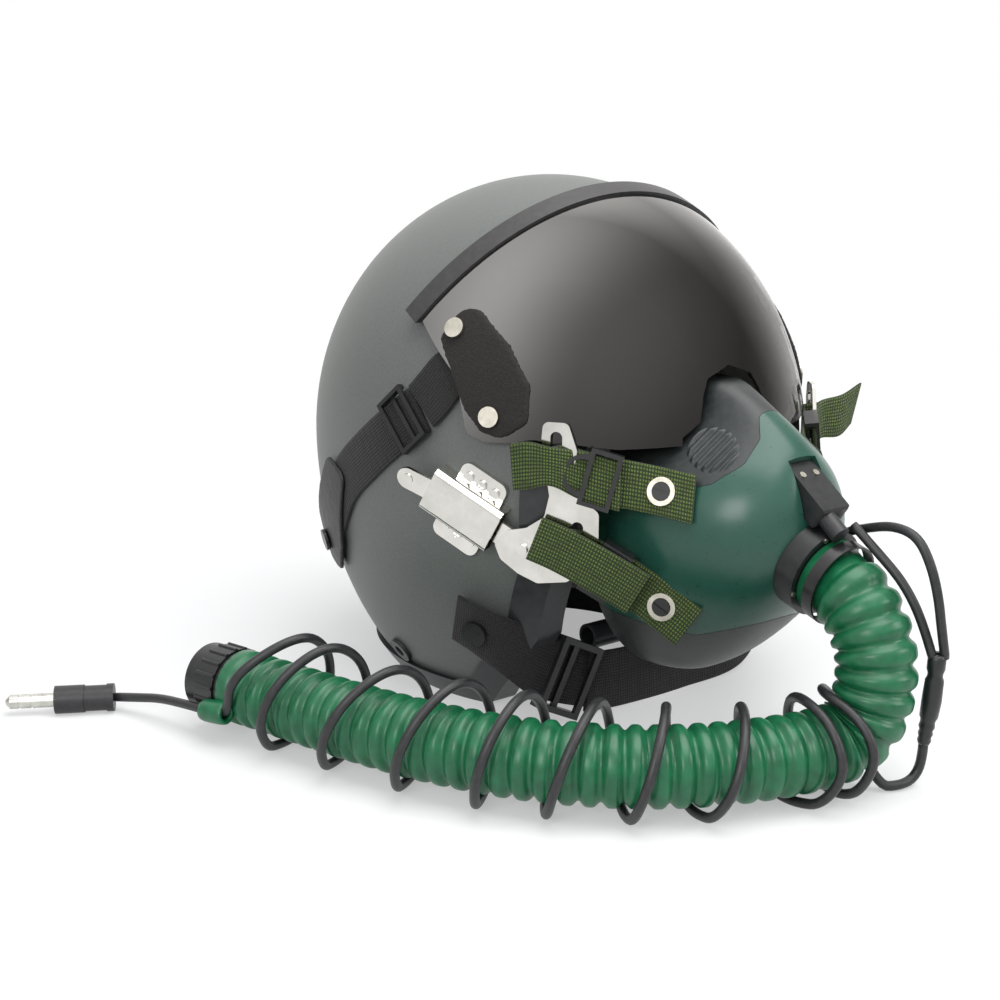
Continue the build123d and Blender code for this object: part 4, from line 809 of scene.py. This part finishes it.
cord_eye = bpy.data.objects.new("cord_eye", eye_data)
scene.collection.objects.link(cord_eye)
placed(cord_eye, hose_green, "hose_rubber", "root")

# %% [markdown]
# The comm cord leaves the moulded junction under the mask, takes nine turns round the hose and goes on to
# its plug. It is one line, so one spline carries the lead, every turn and the tail.

# %% Comm cord
CORD_RADIUS = 0.00225
LEAD_ROUTE = [(20.5, -241, 22), (23, -239, 11), (19, -238, 3.6), (10, -237, 2.4), (2, -232, 2.6)]
WINDING_FIRST = 79
WINDING_TURNS = [(100, 83, 92, 100), (109, 104, 115, 126), (138, 150, 160, 166), (172, 182, 190, 196),
                 (202, 215, 224, 229), (234, 245, 253, 259), (264, 280, 291, 295), (298, 318, 332, 335),
                 (336, 356, 366, 361)]
WINDING_LAST = (354, 373)
SIDE_RADIUS = 25.5
FLOOR_RADIUS = 20.75
TOP_SHARES = (1.2, 1.15, 1.11, 1.25, 1.34, 1.39, 1.46, 1.45, 1.58, 1.63)
QUARTERS = (0, 0.5, 1, 1.5, 1.85, 2.15, 2.5, 3, 3.5)
SPLINE_PULL = 0.94
CAD_HOSE_LENGTH = 395.1


def beside_hose(distance, quarter, radius):
    """A place beside the hose: quarter 0 is on top, 1 on the near side, 2 below and 3 on the far side."""
    place, ahead = along_line(hose_line, hose_runs, distance / CAD_HOSE_LENGTH * hose_length)
    flat = Vector((ahead.x, ahead.y, 0)).normalized()
    near = Vector((-flat.y, flat.x, 0))
    turn = quarter * math.pi / 2
    return place + (Vector((0, 0, 1)) * math.cos(turn) + near * math.sin(turn)) * radius * MM


def winding_controls():
    """The steering points of the turns, nine to a turn."""
    stops = []
    for turn, share in zip(WINDING_TURNS, TOP_SHARES):
        stops += zip(turn, (FLOOR_RADIUS * share, SIDE_RADIUS, FLOOR_RADIUS, SIDE_RADIUS))
    stops.append((WINDING_LAST[0], FLOOR_RADIUS * TOP_SHARES[-1]))
    controls = [beside_hose(WINDING_FIRST, 3, SIDE_RADIUS),
                beside_hose((WINDING_FIRST + WINDING_TURNS[0][0]) / 2, 3.5, 26.5)]
    for turn in range(len(WINDING_TURNS)):
        for quarter in QUARTERS:
            first = turn * 4 + int(quarter)
            t = quarter - int(quarter)
            (d0, r0), (d1, r1) = stops[first], stops[first + 1]
            spot = beside_hose(d0 + (d1 - d0) * t, quarter, (r0 + (r1 - r0) * t) / SPLINE_PULL)
            if 1.6 < quarter < 2.4:
                spot.z = CORD_RADIUS
            controls.append(spot)
    controls.append(beside_hose(WINDING_LAST[0], 0, FLOOR_RADIUS * TOP_SHARES[-1] / SPLINE_PULL))
    controls.append(beside_hose(WINDING_LAST[1], 0.62, SIDE_RADIUS * TOP_SHARES[0] / SPLINE_PULL))
    return controls


cord_route = [at(*p) for p in LEAD_ROUTE] + winding_controls() + [at(*p) for p in TAIL_ROUTE]
cord_line = line_points(cord_route)
cord_length = measured(cord_line)[-1]
comm_cord = tube("comm_cord", cord_line, cord_rings(cord_length, CORD_RADIUS, 0.0022), 14)
placed(comm_cord, cord_black, "cord_rubber", None, "cord_lead", "cord_winding", "cord_tail")
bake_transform(comm_cord)
print("comm cord", round(cord_length, 4), "verts", len(comm_cord.data.vertices))

# %% [markdown]
# Two leads drop from the mask, one from the microphone's boot and one from its back, into a moulded
# junction. The junction is a thick rubber block with a waist where the cords come in.

# %% Leads and junction
MIC_LEAD = [(5, -207, 117.5), (8, -220, 106.5), (10.5, -232.5, 95.5), (13, -241.8, 80), (16, -246, 64)]
SECOND_LEAD = [(13, -198, 111), (11.5, -211, 116), (10.5, -225.5, 120), (10.5, -238, 118), (11.5, -245, 107),
               (13.5, -248.5, 93), (16, -249.5, 78), (20.5, -249, 64)]
JUNCTION = [(17.8, -247, 66), (18.3, -246, 50), (19.4, -243.6, 36), (20.5, -241, 21.5)]
junction_line = line_points([at(*p) for p in JUNCTION])
junction_length = measured(junction_line)[-1]
junction_shares = ((0, 0.35), (0.0, 0.9), (0.04, 1.12), (0.16, 1.12), (0.2, 0.94), (0.24, 0.94),
                   (0.28, 1.14), (0.5, 1.22),
                   (0.68, 1.14), (0.72, 0.92), (0.76, 0.92), (0.8, 1.0), (0.84, 0.8), (0.88, 0.92),
                   (0.92, 0.76),
                   (0.96, 0.86), (1.0, 0.7), (1.0, 0.35))
junction = tube("junction", junction_line, [(s * junction_length, r * 0.0036) for s, r in junction_shares],
                24)
placed(junction, port_black, "cord_rubber", None, "cord_junction")
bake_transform(junction)
for name, route, node in (("mic_cord", MIC_LEAD, "mic_lead"), ("second_cord", SECOND_LEAD, "second_lead")):
    line = line_points([at(*p) for p in route])
    length = measured(line)[-1]
    lead = tube(name, line, cord_rings(length, CORD_RADIUS * 0.95, 0.0022), 14)
    placed(lead, cord_black, "cord_rubber", None, node)
    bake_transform(lead)
    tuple(line[0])
    print(name, round(length, 4))
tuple(cord_line[0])

# %% [markdown]
# The rubber face piece has a ribbed oval grip moulded on each side of the nose, where the fingers take hold.
# Its ridges lie on the rubber itself, so each point of the oval is dropped on the surface from outside.

# %% Grips
GRIP_CENTRE = (713.0, 450.0)
GRIP_HALF = (27.0, 24.0)
GRIP_RIDGES = 7
GRIP_HEIGHT = 0.0018
PIXELS = 1560.0


def view_ray(x, y):
    """The direction in which the camera sees a place of the picture."""
    way = Vector(((x - 500) / PIXELS, (500 - y) / PIXELS, -1))
    return (camera.rotation_euler.to_matrix() @ way).normalized()


def grip_rule(across, along):
    x, y = across * 2 - 1, along * 2 - 1
    square_x, square_y = x * math.sqrt(1 - y * y / 2), y * math.sqrt(1 - x * x / 2)
    ray = view_ray(GRIP_CENTRE[0] + square_x * GRIP_HALF[0], GRIP_CENTRE[1] + square_y * GRIP_HALF[1])
    _, place, normal, _ = nodes["face_form"].ray_cast(camera.location, ray)
    rim = min(1.0, (1 - math.hypot(square_x, square_y)) * 5)
    wave = 0.5 + 0.5 * math.cos((square_x * 0.75 + square_y * 0.66) * math.pi * GRIP_RIDGES)
    return place + normal * (rim * GRIP_HEIGHT * wave - 0.00015)


grip_right = grid_piece("grip_right", 60, 60, grip_rule, (0.02, 0.02))
grip_left = mirror_copy(grip_right, "grip_left")
for grip in (grip_right, grip_left):
    placed(grip, face_rubber, "mask_rubber", "mask")
print("grip", tuple(round(v, 4) for v in grip_right.dimensions))

# %% [markdown]
# The floor is plain and pale. Close to the helmet it takes the soft shadow, and further out it fades to the
# same white as the backdrop. Diffuse rays miss that white, so it puts no more light on the object.

# %% Floor
FADE_FROM, FADE_TO = 0.3, 0.7
FADE_LEAST = 0.4
FLOOR_TONE = 0.95
floor_mesh = bmesh.new()
bmesh.ops.create_grid(floor_mesh, x_segments=1, y_segments=1, size=3)
floor_data = bpy.data.meshes.new("floor")
floor_mesh.to_mesh(floor_data)
floor_mesh.free()
floor = bpy.data.objects.new("floor", floor_data)
scene.collection.objects.link(floor)
floor_white = bpy.data.materials.new("floor_white")
floor_white.use_nodes = True
tree = floor_white.node_tree
tree.nodes.clear()
place = tree.nodes.new("ShaderNodeTexCoord")
spread = tree.nodes.new("ShaderNodeVectorMath")
spread.operation = "LENGTH"
tree.links.new(place.outputs["Object"], spread.inputs[0])
fade = tree.nodes.new("ShaderNodeMapRange")
fade.interpolation_type = "SMOOTHSTEP"
fade.inputs["From Min"].default_value = FADE_FROM
fade.inputs["From Max"].default_value = FADE_TO
fade.inputs["To Min"].default_value = FADE_LEAST
tree.links.new(spread.outputs["Value"], fade.inputs["Value"])
light_path = tree.nodes.new("ShaderNodeLightPath")
shown = tree.nodes.new("ShaderNodeMath")
shown.operation = "SUBTRACT"
shown.inputs[0].default_value = 1.0
tree.links.new(light_path.outputs["Is Diffuse Ray"], shown.inputs[1])
near = tree.nodes.new("ShaderNodeBsdfDiffuse")
near.inputs["Color"].default_value = (FLOOR_TONE, FLOOR_TONE, FLOOR_TONE, 1)
far = tree.nodes.new("ShaderNodeEmission")
tree.links.new(shown.outputs[0], far.inputs["Strength"])
mixed = tree.nodes.new("ShaderNodeMixShader")
output = tree.nodes.new("ShaderNodeOutputMaterial")
tree.links.new(fade.outputs["Result"], mixed.inputs[0])
tree.links.new(near.outputs[0], mixed.inputs[1])
tree.links.new(far.outputs[0], mixed.inputs[2])
tree.links.new(mixed.outputs[0], output.inputs["Surface"])
floor.data.materials.append(floor_white)
